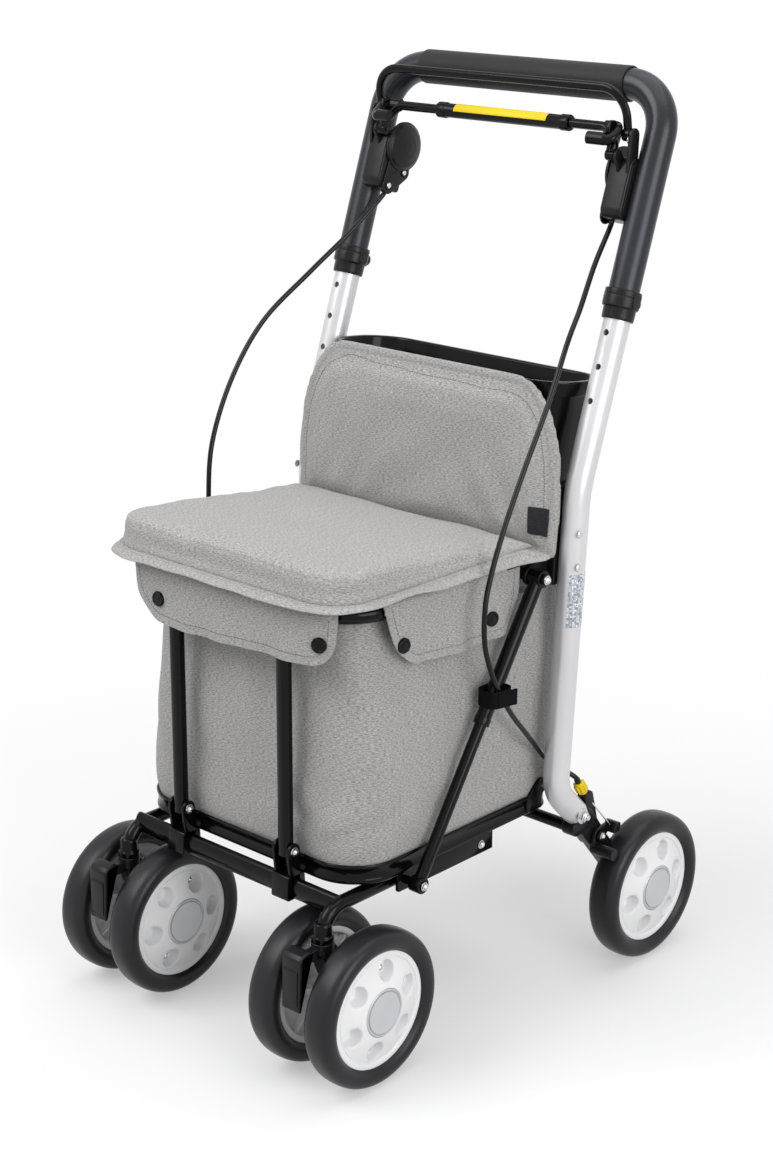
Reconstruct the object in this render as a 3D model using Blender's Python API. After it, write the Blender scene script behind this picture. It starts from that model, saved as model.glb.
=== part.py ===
"""Shopping rollator: a telescopic push handle on two bent uprights, a seat with a hinged lid over a fabric
bag, a load tray on twin-wheel casters, two braked rear wheels, and a base that folds back under the frame.

Metres, +Z up. The origin is on the floor under the middle of the four wheel contacts. +X is the right side
seen from the front, and -Y is the front, where the casters are.
"""

import math

import bmesh
import bpy
from mathutils import Vector

# Fits
GAP = 0.0003            # between pieces that rest on or in each other
RUN = 0.0006            # round a pin or an axle that turns

# The seat ring, which the rest is set out from
SEAT_HALF_X = 0.137
SEAT_Z = 0.432
SEAT_TUBE_R = 0.008
SEAT_FRONT = -0.182
SEAT_REAR = 0.038
SEAT_CORNER = 0.045
SEAT_REAR_CORNER = 0.020
SEAT_SIDE_GAP = 0.0025  # between the ring and the brackets beside it

# Wheels, all six of one kind
WHEEL_D = 0.150
TYRE_W = 0.032
RIM_D = 0.1120
RIM_W = 0.0216
DISH = 0.0075           # how far the hub cap stands out from the rim's edge
CAP_R = 0.023
RIM_HOLES = 6
POCKET_R = 0.0105       # of a rim's blind pockets, at their mouth
POCKET_FLOOR_R = 0.0062
POCKET_DEEP = 0.0095
POCKET_RING_R = 0.0385
AXLE_R = 0.0040
HUB_R = 0.0115
HUB_PROUD = 0.0022
WHEEL_BASE = 0.370      # front axles to rear axles
TURN_REAR = 9.0         # how far each wheel happens to be turned, in degrees
TURN_FRONT_L = 4.0
TURN_FRONT_R = 19.0

# Casters
CASTER_X = SEAT_HALF_X - 0.007
TWIN_GAP = 0.070        # between the middle planes of a caster's two wheels
TRAIL = 0.025
CASTER_SLEEVE_R = 0.0105
CASTER_SLEEVE_LOW = 0.138
CASTER_SLEEVE_H = 0.018
CASTER_BEND_R = 0.024
CASTER_TUBE_R = 0.007
CASTER_STEM_R = 0.005
CASTER_STEM_H = 0.012
FORK_T = 0.018
LOCK_HINGE = (-0.2375, 0.1290)
LOCK_LOW = 0.085
LOCK_HALF = 0.0125

# Base
TRAY_HALF_X = SEAT_HALF_X + 0.011
TRAY_FRONT = SEAT_FRONT - 0.002
TRAY_REAR = SEAT_REAR + 0.054
TRAY_LOW = 0.178
TRAY_BAND = 0.019
TRAY_WALL = 0.0022
TRAY_CORNER = 0.050
TRAY_REAR_CORNER = 0.018
BASE_RAIL_HALF = 0.0126 # half a rail's width, round its caster tube
RAIL_DEEP = 0.009       # below the tube's middle
BASE_TUBE_Z = TRAY_LOW - 0.0115
CROSS_Y = TRAY_FRONT - 0.009
CROSS_HALF_Y = 0.006
CROSS_HALF_Z = 0.011
RAIL_FRONT = -0.096
RAIL_REAR = 0.009
RAIL_WALL = 0.002

# Uprights, as (y, z) at the bends
UPRIGHT_D = 0.0254
UPRIGHT_WALL = 0.0016
UPRIGHT_X = SEAT_HALF_X + SEAT_TUBE_R + SEAT_SIDE_GAP + 0.0225
FOOT = (0.1003, 0.1732)
LOW_BEND = (0.0685, 0.205)
HIGH_BEND = (0.088, SEAT_Z + 0.068)
LEAN = math.radians(18.8)
UPRIGHT_TOP = 0.226     # length of the leaning stretch
LOW_BEND_R = 0.040
HIGH_BEND_R = 0.120
STEP = 0.032            # between two height settings
STEPS_DOWN = 3
STEPS_UP = 1
BRACKET_X = (SEAT_HALF_X + SEAT_TUBE_R + SEAT_SIDE_GAP, UPRIGHT_X - 0.0100)
BRACKET_PLATE = 0.0037
SPINE_Z = (SEAT_Z - 0.023, HIGH_BEND[1] + 0.004)
TRACK = 2 * UPRIGHT_X + 0.050

# Folding linkage, as (y, z)
SEAT_PIVOT = (0.074, SEAT_Z - 0.012)
BASE_PIVOT = (0.074, TRAY_LOW + 0.025)
BAR_Y = SEAT_FRONT - 0.013
BAR_X = 0.0695
BAR_HALF_X = 0.007
BAR_HALF_Y = 0.006
PIN_R = 0.003
EAR_T = 0.003
BRACE_TOP = (SEAT_PIVOT[0] - 0.027, SEAT_PIVOT[1] + 0.0025)
BRACE_FOOT = (RAIL_FRONT - 0.0195, BASE_TUBE_Z + 0.0025)
BRACE_X = BRACKET_X[0] + 0.0115
BRACE_TUBE_R = 0.0072
BRACE_ROD_R = 0.0057
BRACE_TUBE_LEN = 0.145
BRACE_EYE_HALF = 0.0075
BRACE_EYE_R = 0.0085
BRACE_FOOT_HALF = 0.0063
BRACE_FOOT_R = 0.0078
BRACE_ROD_START = 0.014

# Handle; lengths along the leaning legs start at the high bend
HANDLE_D = 0.0292
HANDLE_BEND_R = 0.045
HANDLE_TOP = 0.375
GRIP_HALF = UPRIGHT_X - 0.0445
GRIP_D = 0.0334
COLLAR_LOW = 0.1595
COLLAR_STEP = 0.0120
COLLAR_RING = 0.0160
COLLAR_R = 0.0172
BUTTON_R = 0.0030
BUTTON_KNOB_R = 0.0060
BUTTON_KNOB_H = 0.0065

# Brake gear on the handle
HOUSING_X = (UPRIGHT_X - 0.0328, UPRIGHT_X - 0.0090)
HOUSING_FRONT = 0.0215
HOUSING_REAR = -0.012
HOUSING_LOW = HANDLE_TOP - 0.127
HOUSING_HIGH = HOUSING_LOW + 0.058
LEVER_PIVOT = (HOUSING_HIGH + 0.018, 0.0235)   # along the leg, in front of it
LEVER_BAR = (LEVER_PIVOT[0] + 0.037, 0.0437)
LEVER_X = HOUSING_X[0] + 0.0148
LEVER_CORNER = 0.027
LEVER_R = 0.0042
LEVER_EYE_R = 0.0060
LEVER_PIN_R = 0.0022
PARK_PIVOT = (HOUSING_HIGH - 0.002, 0.0265)
PARK_BAR = (PARK_PIVOT[0] + 0.025, 0.0250)
PARK_X = HOUSING_X[0] + 0.0038
PARK_BAR_X = PARK_X - 0.013
PARK_R = 0.0050
PARK_EYE_R = 0.0055
PARK_PIN_R = 0.0020
PARK_SLEEVE_R = 0.0077
PARK_SLEEVE_HALF = 0.081
PARK_SLEEVE_MID = 0.005
COVER_MID = (HOUSING_LOW + 0.0455, -0.0025)
COVER_R = 0.0245
COVER_DOME = 0.0065
COVER_PLATE = 0.0022
COVER_LOBES = ((HOUSING_LOW + 0.0210, -0.0109, 0.0075), (HOUSING_LOW + 0.0040, 0.0073, 0.0085))

# Rear fittings and brakes
FITTING_HALF = 0.007
FITTING_NECK = (0.1098, 0.1637)
CROSS_TUBE_AT = (0.097, 0.158)
CROSS_TUBE_R = 0.006
TUBE_SEAT = 0.0005
BRAKE_PIVOT = (0.126, 0.143)
BRAKE_SHOE = (0.122, 0.130)
BRAKE_SHOE_R = 0.006
BRAKE_TAB = (0.141, 0.148)
ADJUSTER_SEAT = (0.1165, 0.185)
ADJUSTER_SEAT_R = 0.0065
ADJUSTER_DIR = (0.56, -0.8285)
ADJUSTER_LEN = 0.015
ADJUSTER_R = 0.0062
CABLE_R = 0.0025
CABLE_STEP = 0.019
CABLE_LEAD = 0.008      # the straight stretch at each of a cable's ends
CABLE_EXIT = (HOUSING_X[0] + 0.0093, 0.0045)    # across, and in front of the leg's middle
STRAP_AT = 0.116        # along the right brace
STRAP_W = 0.016
STRAP_T = 0.0013

# Lid, backrest and basket
LID_HALF_X = SEAT_HALF_X + 0.023
LID_FRONT = SEAT_FRONT - 0.038
LID_REAR = SEAT_REAR + 0.010
LID_LOW = SEAT_Z + SEAT_TUBE_R + 0.0055
LID_BOARD = 0.0055
LID_CORNER = 0.050
LID_REAR_CORNER = 0.012
LID_INSET = 0.009
LID_HIGH_FRONT = LID_LOW + 0.0325
LID_HIGH_REAR = LID_LOW + 0.0080
LID_CROWN = 0.006
HINGE_AT = (LID_REAR + 0.0032, LID_LOW + 0.0031)
HINGE_R = 0.0024
HINGE_KNUCKLE = 0.020
HINGE_SPOTS = (-0.090, 0.070)
BACK_HALF_X = UPRIGHT_X - 0.005
BACK_LOW = LID_LOW + 0.002
BACK_HIGH = BACK_LOW + 0.1565
BACK_FRONT = LID_REAR + 0.0065
BACK_T = 0.0155
BACK_CORNER = 0.045
BACK_LEAN = 0.038       # how far it leans back for each metre of height
BASKET_HALF_X = (UPRIGHT_X - 0.0360, UPRIGHT_X - 0.0205)
BASKET_Y = (BACK_FRONT + 0.0245, BACK_FRONT + 0.0835, BACK_FRONT + 0.1155)
BASKET_Z = (BACK_LOW + 0.0125, BACK_HIGH - 0.0065, BACK_HIGH - 0.0155)
BASKET_CORNER = (0.024, 0.038)
BASKET_WALL = 0.0025
BASKET_LIP = 0.0035
BASKET_LIP_H = 0.015
BACK_TUBE_Y = BASKET_Y[0] + 0.018
BACK_TUBE_R = 0.008

# Bag and its flaps
BAG_WALL = 0.0030
BAG_RINGS = (
    (TRAY_LOW + 0.0035, TRAY_HALF_X - 0.0050, TRAY_FRONT + 0.0055, TRAY_REAR - 0.0045),
    (TRAY_LOW + 0.0230, TRAY_HALF_X - 0.0040, TRAY_FRONT + 0.0050, TRAY_REAR - 0.0045),
    (TRAY_LOW + 0.0370, TRAY_HALF_X, TRAY_FRONT + 0.0015, TRAY_REAR - 0.0040),
    (TRAY_LOW + 0.1220, TRAY_HALF_X - 0.0050, TRAY_FRONT + 0.0040, TRAY_REAR - 0.0050),
    (SEAT_Z - 0.042, SEAT_HALF_X - 0.0060, SEAT_FRONT + 0.0085, TRAY_REAR - 0.0070),
    (SEAT_Z - 0.028, SEAT_HALF_X - 0.0068, SEAT_FRONT + 0.0090, TRAY_REAR - 0.0080),
    (SEAT_Z - 0.013, SEAT_HALF_X - 0.0080, SEAT_FRONT + 0.0098, SEAT_REAR - 0.0090),
    (SEAT_Z + 0.006, SEAT_HALF_X - 0.0100, SEAT_FRONT + 0.0105, SEAT_REAR - 0.0110),
)
BAG_CORNER = 0.042
BAG_REAR_CORNER = 0.026
BAG_REAR_HALF_X = TRAY_HALF_X - 0.0040      # most that it spreads between the tray's ears
FLAP_T = 0.0015
FLAP_LOW = SEAT_Z - 0.051
FRONT_FLAP_Y = BAR_Y - 0.0095
FRONT_FLAP_X = SEAT_HALF_X - 0.009
SIDE_FLAP_Y = (SEAT_FRONT + 0.034, SEAT_REAR - 0.028)
SIDE_FLAP_X = SEAT_HALF_X + SEAT_TUBE_R + 0.0012

SIDES = 12              # of the larger tubes
SMALL_SIDES = 8

RIGHT, LEFT = 1, -1
FRONT_AXLE_Y = -WHEEL_BASE / 2
REAR_AXLE_Y = WHEEL_BASE / 2
WHEEL_R = WHEEL_D / 2
CASTER_Y = FRONT_AXLE_Y - TRAIL
REAR_WHEEL_X = TRACK / 2
LOCK_AT = COLLAR_LOW + COLLAR_STEP + COLLAR_RING / 2 - 0.0015
BAR_LOW_PIVOT = (BAR_Y, BASE_PIVOT[1])
BAR_TOP_PIVOT = (BAR_Y, SEAT_PIVOT[1])


def clear_scene():
    for obj in list(bpy.data.objects):
        bpy.data.objects.remove(obj, do_unlink=True)


MATERIALS = {}


def material(name, colour, roughness, metallic=0.0):
    if name not in MATERIALS:
        made = bpy.data.materials.new(name)
        made.use_nodes = True
        shader = made.node_tree.nodes["Principled BSDF"]
        shader.inputs["Base Color"].default_value = (*colour, 1.0)
        shader.inputs["Roughness"].default_value = roughness
        shader.inputs["Metallic"].default_value = metallic
        made.diffuse_color = (*colour, 1.0)
        MATERIALS[name] = made
    return MATERIALS[name]


def finish_of(key):
    return {
        "silver": lambda: material("satin_silver", (0.62, 0.63, 0.64), 0.32, 1.0),
        "black": lambda: material("gloss_black_paint", (0.018, 0.018, 0.020), 0.22, 0.0),
        "anthracite": lambda: material("satin_anthracite", (0.060, 0.062, 0.068), 0.42, 0.3),
        "moulded": lambda: material("moulded_black", (0.030, 0.030, 0.033), 0.50, 0.0),
        "rubber": lambda: material("tyre_rubber", (0.045, 0.044, 0.046), 0.65, 0.0),
        "sleeve": lambda: material("grip_rubber", (0.055, 0.055, 0.060), 0.55, 0.0),
        "rim": lambda: material("rim_white", (0.78, 0.80, 0.82), 0.38, 0.0),
        "yellow": lambda: material("yellow_plastic", (0.82, 0.68, 0.06), 0.45, 0.0),
        "fabric": lambda: material("grey_fabric", (0.52, 0.51, 0.49), 0.90, 0.0),
        "cable": lambda: material("cable_black", (0.020, 0.020, 0.020), 0.40, 0.0),
    }[key]()


def new_object(name, points, faces, finish):
    mesh = bpy.data.meshes.new(name)
    mesh.from_pydata([tuple(p) for p in points], [], faces)
    mesh.validate()
    build = bmesh.new()
    build.from_mesh(mesh)
    bmesh.ops.remove_doubles(build, verts=build.verts, dist=1e-7)
    bmesh.ops.recalc_face_normals(build, faces=build.faces)
    build.to_mesh(mesh)
    build.free()
    obj = bpy.data.objects.new(name, mesh)
    bpy.context.scene.collection.objects.link(obj)
    if finish:
        mesh.materials.append(finish_of(finish))
    return obj


def combine(target, tool, operation):
    """Joins the tool to the target, or cuts it out, and removes the tool."""
    change = target.modifiers.new("combine", "BOOLEAN")
    change.operation = operation
    change.solver = "EXACT"
    change.object = tool
    graph = bpy.context.evaluated_depsgraph_get()
    graph.update()
    old = target.data
    target.data = bpy.data.meshes.new_from_object(target.evaluated_get(graph))
    target.modifiers.clear()
    bpy.data.meshes.remove(old)
    bpy.data.objects.remove(tool, do_unlink=True)
    return target


def add(target, *tools):
    for tool in tools:
        combine(target, tool, "UNION")
    return target


def cut(target, *tools):
    for tool in tools:
        combine(target, tool, "DIFFERENCE")
    return target


def smooth(obj, angle=38.0):
    obj.data.shade_smooth()
    obj.data.set_sharp_from_angle(angle=math.radians(angle))
    return obj


def bore_radius(radius, clearance, sides=SIDES):
    """Corner radius of a many-sided bore whose flats clear a round of the given radius."""
    return (radius + clearance) / math.cos(math.pi / sides)


def on_leg(along, forward, x):
    """A point by its distance along the leaning legs from the high bend, and in front of their middle line."""
    y = HIGH_BEND[0] + along * math.sin(LEAN) - forward * math.cos(LEAN)
    z = HIGH_BEND[1] + along * math.cos(LEAN) + forward * math.sin(LEAN)
    return Vector((x, y, z))


LEG_DIR = Vector((0.0, math.sin(LEAN), math.cos(LEAN)))
FORWARD_DIR = Vector((0.0, -math.cos(LEAN), math.sin(LEAN)))
X_DIR = Vector((1.0, 0.0, 0.0))


def rounded_path(corners, radii, steps):
    """A path through the corners, each inner one replaced by an arc of its radius."""
    corners = [Vector(c) for c in corners]
    path = [corners[0]]
    for before, corner, after, radius in zip(corners, corners[1:], corners[2:], radii):
        a = (before - corner).normalized()
        b = (after - corner).normalized()
        half = a.angle(b) / 2
        reach = radius / math.tan(half)
        centre = corner + (a + b).normalized() * (radius / math.sin(half))
        start, end = corner + a * reach - centre, corner + b * reach - centre
        turn = start.angle(end)
        for k in range(steps + 1):
            share = k / steps
            spoke = start * (math.sin((1 - share) * turn) / math.sin(turn))
            spoke = spoke + end * (math.sin(share * turn) / math.sin(turn))
            path.append(centre + spoke)
    path.append(corners[-1])
    return path


def rounded_rectangle(half_x, y_front, y_rear, radius, steps, rear_radius=None):
    """Points of a rectangle with round corners, anticlockwise seen from above."""
    rear = radius if rear_radius is None else rear_radius
    points = []
    for x, y, corner, start in (
        (half_x - radius, y_front + radius, radius, -90),
        (half_x - rear, y_rear - rear, rear, 0),
        (-half_x + rear, y_rear - rear, rear, 90),
        (-half_x + radius, y_front + radius, radius, 180),
    ):
        for k in range(steps + 1):
            angle = math.radians(start + 90 * k / steps)
            points.append((x + corner * math.cos(angle), y + corner * math.sin(angle)))
    return points


def strap_outline(centre_a, radius_a, centre_b, radius_b, steps=4):
    """Outline of two discs and the band between them, as (y, z), with tangent sides."""
    a, b = Vector(centre_a), Vector(centre_b)
    along = b - a
    heading = math.atan2(along.y, along.x)
    spread = math.acos((radius_a - radius_b) / along.length)
    points = []
    for centre, radius, start, end in (
        (b, radius_b, heading - spread, heading + spread),
        (a, radius_a, heading + spread, heading + 2 * math.pi - spread),
    ):
        for k in range(steps + 1):
            angle = start + (end - start) * k / steps
            points.append((centre.x + radius * math.cos(angle), centre.y + radius * math.sin(angle)))
    return points


def prism_x(name, outline, x_low, x_high, finish):
    """Extrudes a (y, z) outline along X."""
    n = len(outline)
    points = [(x, y, z) for x in (x_low, x_high) for y, z in outline]
    faces = [tuple(range(n)), tuple(range(n, 2 * n))]
    faces += [(k, (k + 1) % n, n + (k + 1) % n, n + k) for k in range(n)]
    return new_object(name, points, faces, finish)


def stack(name, rings, finish, close=False):
    """Skins rings of equal count, with flat end faces, or joins the last ring to the first."""
    n = len(rings[0])
    points = [p for ring in rings for p in ring]
    faces = []
    last = len(rings) if close else len(rings) - 1
    for r in range(last):
        a, b = r * n, ((r + 1) % len(rings)) * n
        faces += [(a + k, a + (k + 1) % n, b + (k + 1) % n, b + k) for k in range(n)]
    if not close:
        faces += [tuple(range(n)), tuple(range((len(rings) - 1) * n, len(rings) * n))]
    return new_object(name, points, faces, finish)


def tangents(path, closed):
    count = len(path)
    found = []
    for k, point in enumerate(path):
        before = path[k - 1] if k or closed else point
        after = path[(k + 1) % count] if k < count - 1 or closed else point
        found.append((after - before).normalized())
    return found


def sweep(name, path, normal, half_normal, half_out, finish, sides=SIDES, bore=None, closed=False):
    """Carries an oval along a flat path; normal is square to the path's plane. bore hollows it, open ended."""
    path = [Vector(p) for p in path]
    normal = Vector(normal).normalized()

    def rings(a, b):
        made = []
        for point, heading in zip(path, tangents(path, closed)):
            out = heading.cross(normal)
            ring = []
            for k in range(sides):
                angle = 2 * math.pi * (k + 0.5) / sides
                ring.append(point + normal * (a * math.cos(angle)) + out * (b * math.sin(angle)))
            made.append(ring)
        return made

    outer = rings(half_normal, half_out)
    if bore is None:
        return stack(name, outer, finish, close=closed)
    return stack(name, outer + rings(bore, bore)[::-1], finish, close=True)


def rod(name, start, end, radius, finish, sides=SMALL_SIDES):
    start, end = Vector(start), Vector(end)
    heading = (end - start).normalized()
    normal = heading.orthogonal().normalized()
    if abs(heading.x) < 0.9:
        normal = (X_DIR - heading * heading.x).normalized()
    return sweep(name, [start, end], normal, radius, radius, finish, sides)


def box(name, low, high, finish):
    outline = [(low[1], low[2]), (high[1], low[2]), (high[1], high[2]), (low[1], high[2])]
    return prism_x(name, outline, low[0], high[0], finish)


def turned(name, profile, centre, axis, segments, finish, turn=0.0):
    """Turns a closed profile of (along, radius) about an axis; points on the axis become poles."""
    centre, axis = Vector(centre), Vector(axis).normalized()
    u = Vector((0.0, 1.0, 0.0)) if abs(axis.y) < 0.9 else Vector((0.0, 0.0, 1.0))
    u = (u - axis * axis.dot(u)).normalized()
    v = axis.cross(u)
    points, index = [], []
    for along, radius in profile:
        row = []
        for k in range(1 if radius == 0 else segments):
            angle = math.radians(turn) + 2 * math.pi * (k + 0.5) / segments
            spoke = u * (radius * math.cos(angle)) + v * (radius * math.sin(angle))
            row.append(len(points))
            points.append(centre + axis * along + spoke)
        index.append(row if radius else row * segments)
    faces = []
    for a, b in zip(index, index[1:] + index[:1]):
        for k in range(segments):
            corners = (a[k], a[(k + 1) % segments], b[(k + 1) % segments], b[k])
            corners = tuple(dict.fromkeys(corners))
            if len(corners) > 2:
                faces.append(corners)
    return new_object(name, points, faces, finish)


BODIES = {}


def body(name, place, parent=None):
    """An empty on a joint's axis, which carries the pieces of one moving body."""
    holder = bpy.data.objects.new(name + "_body", None)
    holder.empty_display_size = 0.02
    holder.location = Vector(place)
    bpy.context.scene.collection.objects.link(holder)
    BODIES[name] = holder
    if parent:
        bpy.context.view_layer.update()
        holder.parent = BODIES[parent]
        holder.matrix_parent_inverse = BODIES[parent].matrix_world.inverted()
    bpy.context.view_layer.update()
    return holder


def carry(name, *pieces):
    bpy.context.view_layer.update()
    for piece in pieces:
        piece.parent = BODIES[name]
        piece.matrix_parent_inverse = BODIES[name].matrix_world.inverted()


def label(side):
    return "r" if side == RIGHT else "l"


def yz(point, x):
    return Vector((x, point[0], point[1]))


# Wheels

def tyre(name, centre, outward):
    segments = 22
    flats = 1 / math.cos(math.pi / segments)
    half = TYRE_W / 2
    bore = RIM_D / 2 + GAP
    profile = [
        (-half * 0.72, bore),
        (-half, bore + 0.0065),
        (-half * 0.86, WHEEL_R - 0.0045),
        (-half * 0.42, WHEEL_R),
        (half * 0.42, WHEEL_R),
        (half * 0.86, WHEEL_R - 0.0045),
        (half, bore + 0.0065),
        (half * 0.72, bore),
    ]
    profile = [(along, radius * flats) for along, radius in profile]
    return smooth(turned(name, profile, centre, (outward, 0, 0), segments, "rubber"), 30)


def rim(name, centre, outward, turn):
    """A dished rim: a barrel under the tyre, a coned web with round pockets, a hub and a cap over the axle's end."""
    segments = 16
    half, edge = RIM_W / 2, RIM_D / 2
    proud = half + DISH
    barrel = edge - 0.0055
    cap_inner = proud - 0.006
    web_rear = -0.001
    profile = [
        (proud, 0.0),
        (proud, CAP_R - 0.0015),
        (proud - 0.0015, CAP_R),
        (half - 0.001, barrel),
        (half, edge),
        (-half, edge),
        (-half, barrel),
        (web_rear, barrel),
        (web_rear, HUB_R),
        (-half - HUB_PROUD, HUB_R),
        (-half - HUB_PROUD, AXLE_R + RUN),
        (cap_inner, AXLE_R + RUN),
        (cap_inner, 0.0),
    ]
    made = turned(name, profile, centre, (outward, 0, 0), segments, "rim")
    cone = (proud - half) / (barrel - CAP_R)
    face = half - 0.001 + (barrel - POCKET_RING_R) * cone
    grow = (POCKET_R - POCKET_FLOOR_R) / POCKET_DEEP * 0.006
    pocket = [
        (face - POCKET_DEEP, 0.0),
        (face - POCKET_DEEP, POCKET_FLOOR_R),
        (face + 0.006, POCKET_R + grow),
        (face + 0.006, 0.0),
    ]
    for k in range(RIM_HOLES):
        angle = math.radians(turn) + 2 * math.pi * k / RIM_HOLES
        spoke = Vector((0.0, math.cos(angle), math.sin(angle))) * POCKET_RING_R
        cut(made, turned("cutter", pocket, Vector(centre) + spoke, (outward, 0, 0), 7, None))
    return smooth(made, 30)


def wheel(prefix, suffix, centre, outward, turn, axle_y):
    name = f"{prefix}_wheel_{suffix}"
    pieces = [tyre(f"{prefix}_tyre_{suffix}", centre, outward), rim(f"{prefix}_rim_{suffix}", centre, outward, turn)]
    parent = None if prefix == "rear" else f"caster_{suffix[0]}"
    body(name, (centre[0], axle_y, WHEEL_R), parent)
    carry(name, *pieces)


# Rear frame

def upright_path(x, start=FOOT):
    corners = [yz(start, x), yz(LOW_BEND, x), yz(HIGH_BEND, x), on_leg(UPRIGHT_TOP, 0, x)]
    return rounded_path(corners, (LOW_BEND_R, HIGH_BEND_R), 4)


def upright(side):
    """A bent tube, bored right through, with a row of height holes and the bolt that the base swings on."""
    x = side * UPRIGHT_X
    radius = UPRIGHT_D / 2
    made = sweep(
        f"upright_{label(side)}", upright_path(x), X_DIR, radius, radius, "silver", bore=radius - UPRIGHT_WALL
    )
    for k in range(-STEPS_UP, STEPS_DOWN + 1):
        middle = LOCK_AT - k * STEP
        start, end = on_leg(middle, -2 * radius, x), on_leg(middle, 2 * radius, x)
        cut(made, rod("cutter", start, end, bore_radius(BUTTON_R, GAP, 6), None, 6))
    bolt_end = side * (TRAY_HALF_X - EAR_T - 0.002)
    inner_wall = side * (UPRIGHT_X - radius + UPRIGHT_WALL / 2)
    add(made, rod("bolt", yz(BASE_PIVOT, inner_wall), yz(BASE_PIVOT, bolt_end), PIN_R, "silver"))
    return smooth(made)


def rear_fitting(side):
    """The moulded foot of an upright: a plug in the tube, the wheel's leg and axle, and the brake's posts."""
    x = side * UPRIGHT_X
    x_in, x_out = x - side * FITTING_HALF, x + side * FITTING_HALF
    low, high = min(x_in, x_out), max(x_in, x_out)
    name = f"rear_fitting_{label(side)}"
    axle = (REAR_AXLE_Y, WHEEL_R)
    made = prism_x(name, strap_outline(FITTING_NECK, 0.0125, BRAKE_PIVOT, 0.012), low, high, "moulded")
    for a, ra, b, rb, inset in (
        (BRAKE_PIVOT, 0.0105, axle, 0.012, 0.001),
        (FITTING_NECK, 0.0115, CROSS_TUBE_AT, CROSS_TUBE_R + 0.002, -TUBE_SEAT),
        (BRAKE_PIVOT, 0.0085, ADJUSTER_SEAT, ADJUSTER_SEAT_R, 0.0015),
    ):
        add(made, prism_x("arm", strap_outline(a, ra, b, rb), low + inset, high - inset, "moulded"))
    foot, bend = yz(FOOT, x), yz(LOW_BEND, x)
    up = (bend - foot).normalized()
    socket = bore_radius(UPRIGHT_D / 2, GAP)
    cut(made, rod("cutter", foot - up * GAP, foot + up * 0.05, socket, None, SIDES))
    plug_r = (UPRIGHT_D / 2 - UPRIGHT_WALL) * math.cos(math.pi / SIDES) - GAP
    add(made, rod("plug", foot - up * 0.008, foot + up * 0.024, plug_r, "moulded", SIDES))
    hub_in = side * (REAR_WHEEL_X - RIM_W / 2 - HUB_PROUD - GAP)
    axle_end = side * (REAR_WHEEL_X + RIM_W / 2 + DISH - 0.006 - RUN)
    add(made, rod("boss", yz(axle, x), yz(axle, hub_in), 0.009, "moulded"))
    add(made, rod("axle", yz(axle, x), yz(axle, axle_end), AXLE_R, "moulded"))
    add(made, rod("post", yz(BRAKE_PIVOT, x), yz(BRAKE_PIVOT, x_out + side * 0.0068), PIN_R, "moulded"))
    head = x_out + side * 0.0053
    add(made, rod("head", yz(BRAKE_PIVOT, head), yz(BRAKE_PIVOT, head + side * 0.003), 0.005, "moulded"))
    return smooth(made)


def brake_arm(side):
    """A bell crank on the fitting's post: a tab for the wire and a shoe across the tyre."""
    plate_in = side * (UPRIGHT_X + FITTING_HALF + 0.0006)
    plate_out = side * (UPRIGHT_X + FITTING_HALF + 0.0049)
    low, high = min(plate_in, plate_out), max(plate_in, plate_out)
    name = f"brake_arm_{label(side)}"
    made = prism_x(name, strap_outline(BRAKE_PIVOT, 0.0075, BRAKE_TAB, 0.0042), low, high, "moulded")
    add(made, prism_x("web", strap_outline(BRAKE_PIVOT, 0.0070, BRAKE_SHOE, 0.0055), low, high, "moulded"))
    shoe_end = side * (REAR_WHEEL_X + 0.009)
    add(made, rod("shoe", yz(BRAKE_SHOE, plate_in), yz(BRAKE_SHOE, shoe_end), BRAKE_SHOE_R, "moulded", 12))
    tab_end = plate_in + side * 0.014
    add(made, rod("tab", yz(BRAKE_TAB, plate_in), yz(BRAKE_TAB, tab_end), 0.0042, "moulded"))
    hole = bore_radius(PIN_R, RUN, SMALL_SIDES)
    cut(made, rod("cutter", yz(BRAKE_PIVOT, low - 0.01), yz(BRAKE_PIVOT, high + 0.01), hole, None))
    made = smooth(made)
    body(f"brake_{label(side)}", yz(BRAKE_PIVOT, plate_in))
    carry(f"brake_{label(side)}", made)
    return made


def adjuster_end(share, x):
    """A point on the cable adjuster's axis, from its seat (0) to its far face (1)."""
    direction = Vector((0.0, *ADJUSTER_DIR)).normalized()
    seat = yz(ADJUSTER_SEAT, x) - direction * (ADJUSTER_SEAT_R + GAP)
    return seat - direction * (share * ADJUSTER_LEN)


def cable_adjuster(side):
    x = side * UPRIGHT_X
    name = f"cable_adjuster_{label(side)}"
    start = adjuster_end(0, x)
    axis = adjuster_end(1, x) - start
    profile = [(0.0, 0.0), (0.0, 0.0048), (0.003, ADJUSTER_R), (0.011, ADJUSTER_R), (ADJUSTER_LEN, 0.0042), (ADJUSTER_LEN, 0.0)]
    return smooth(turned(name, profile, start, axis, 12, "yellow"), 30)


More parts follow.
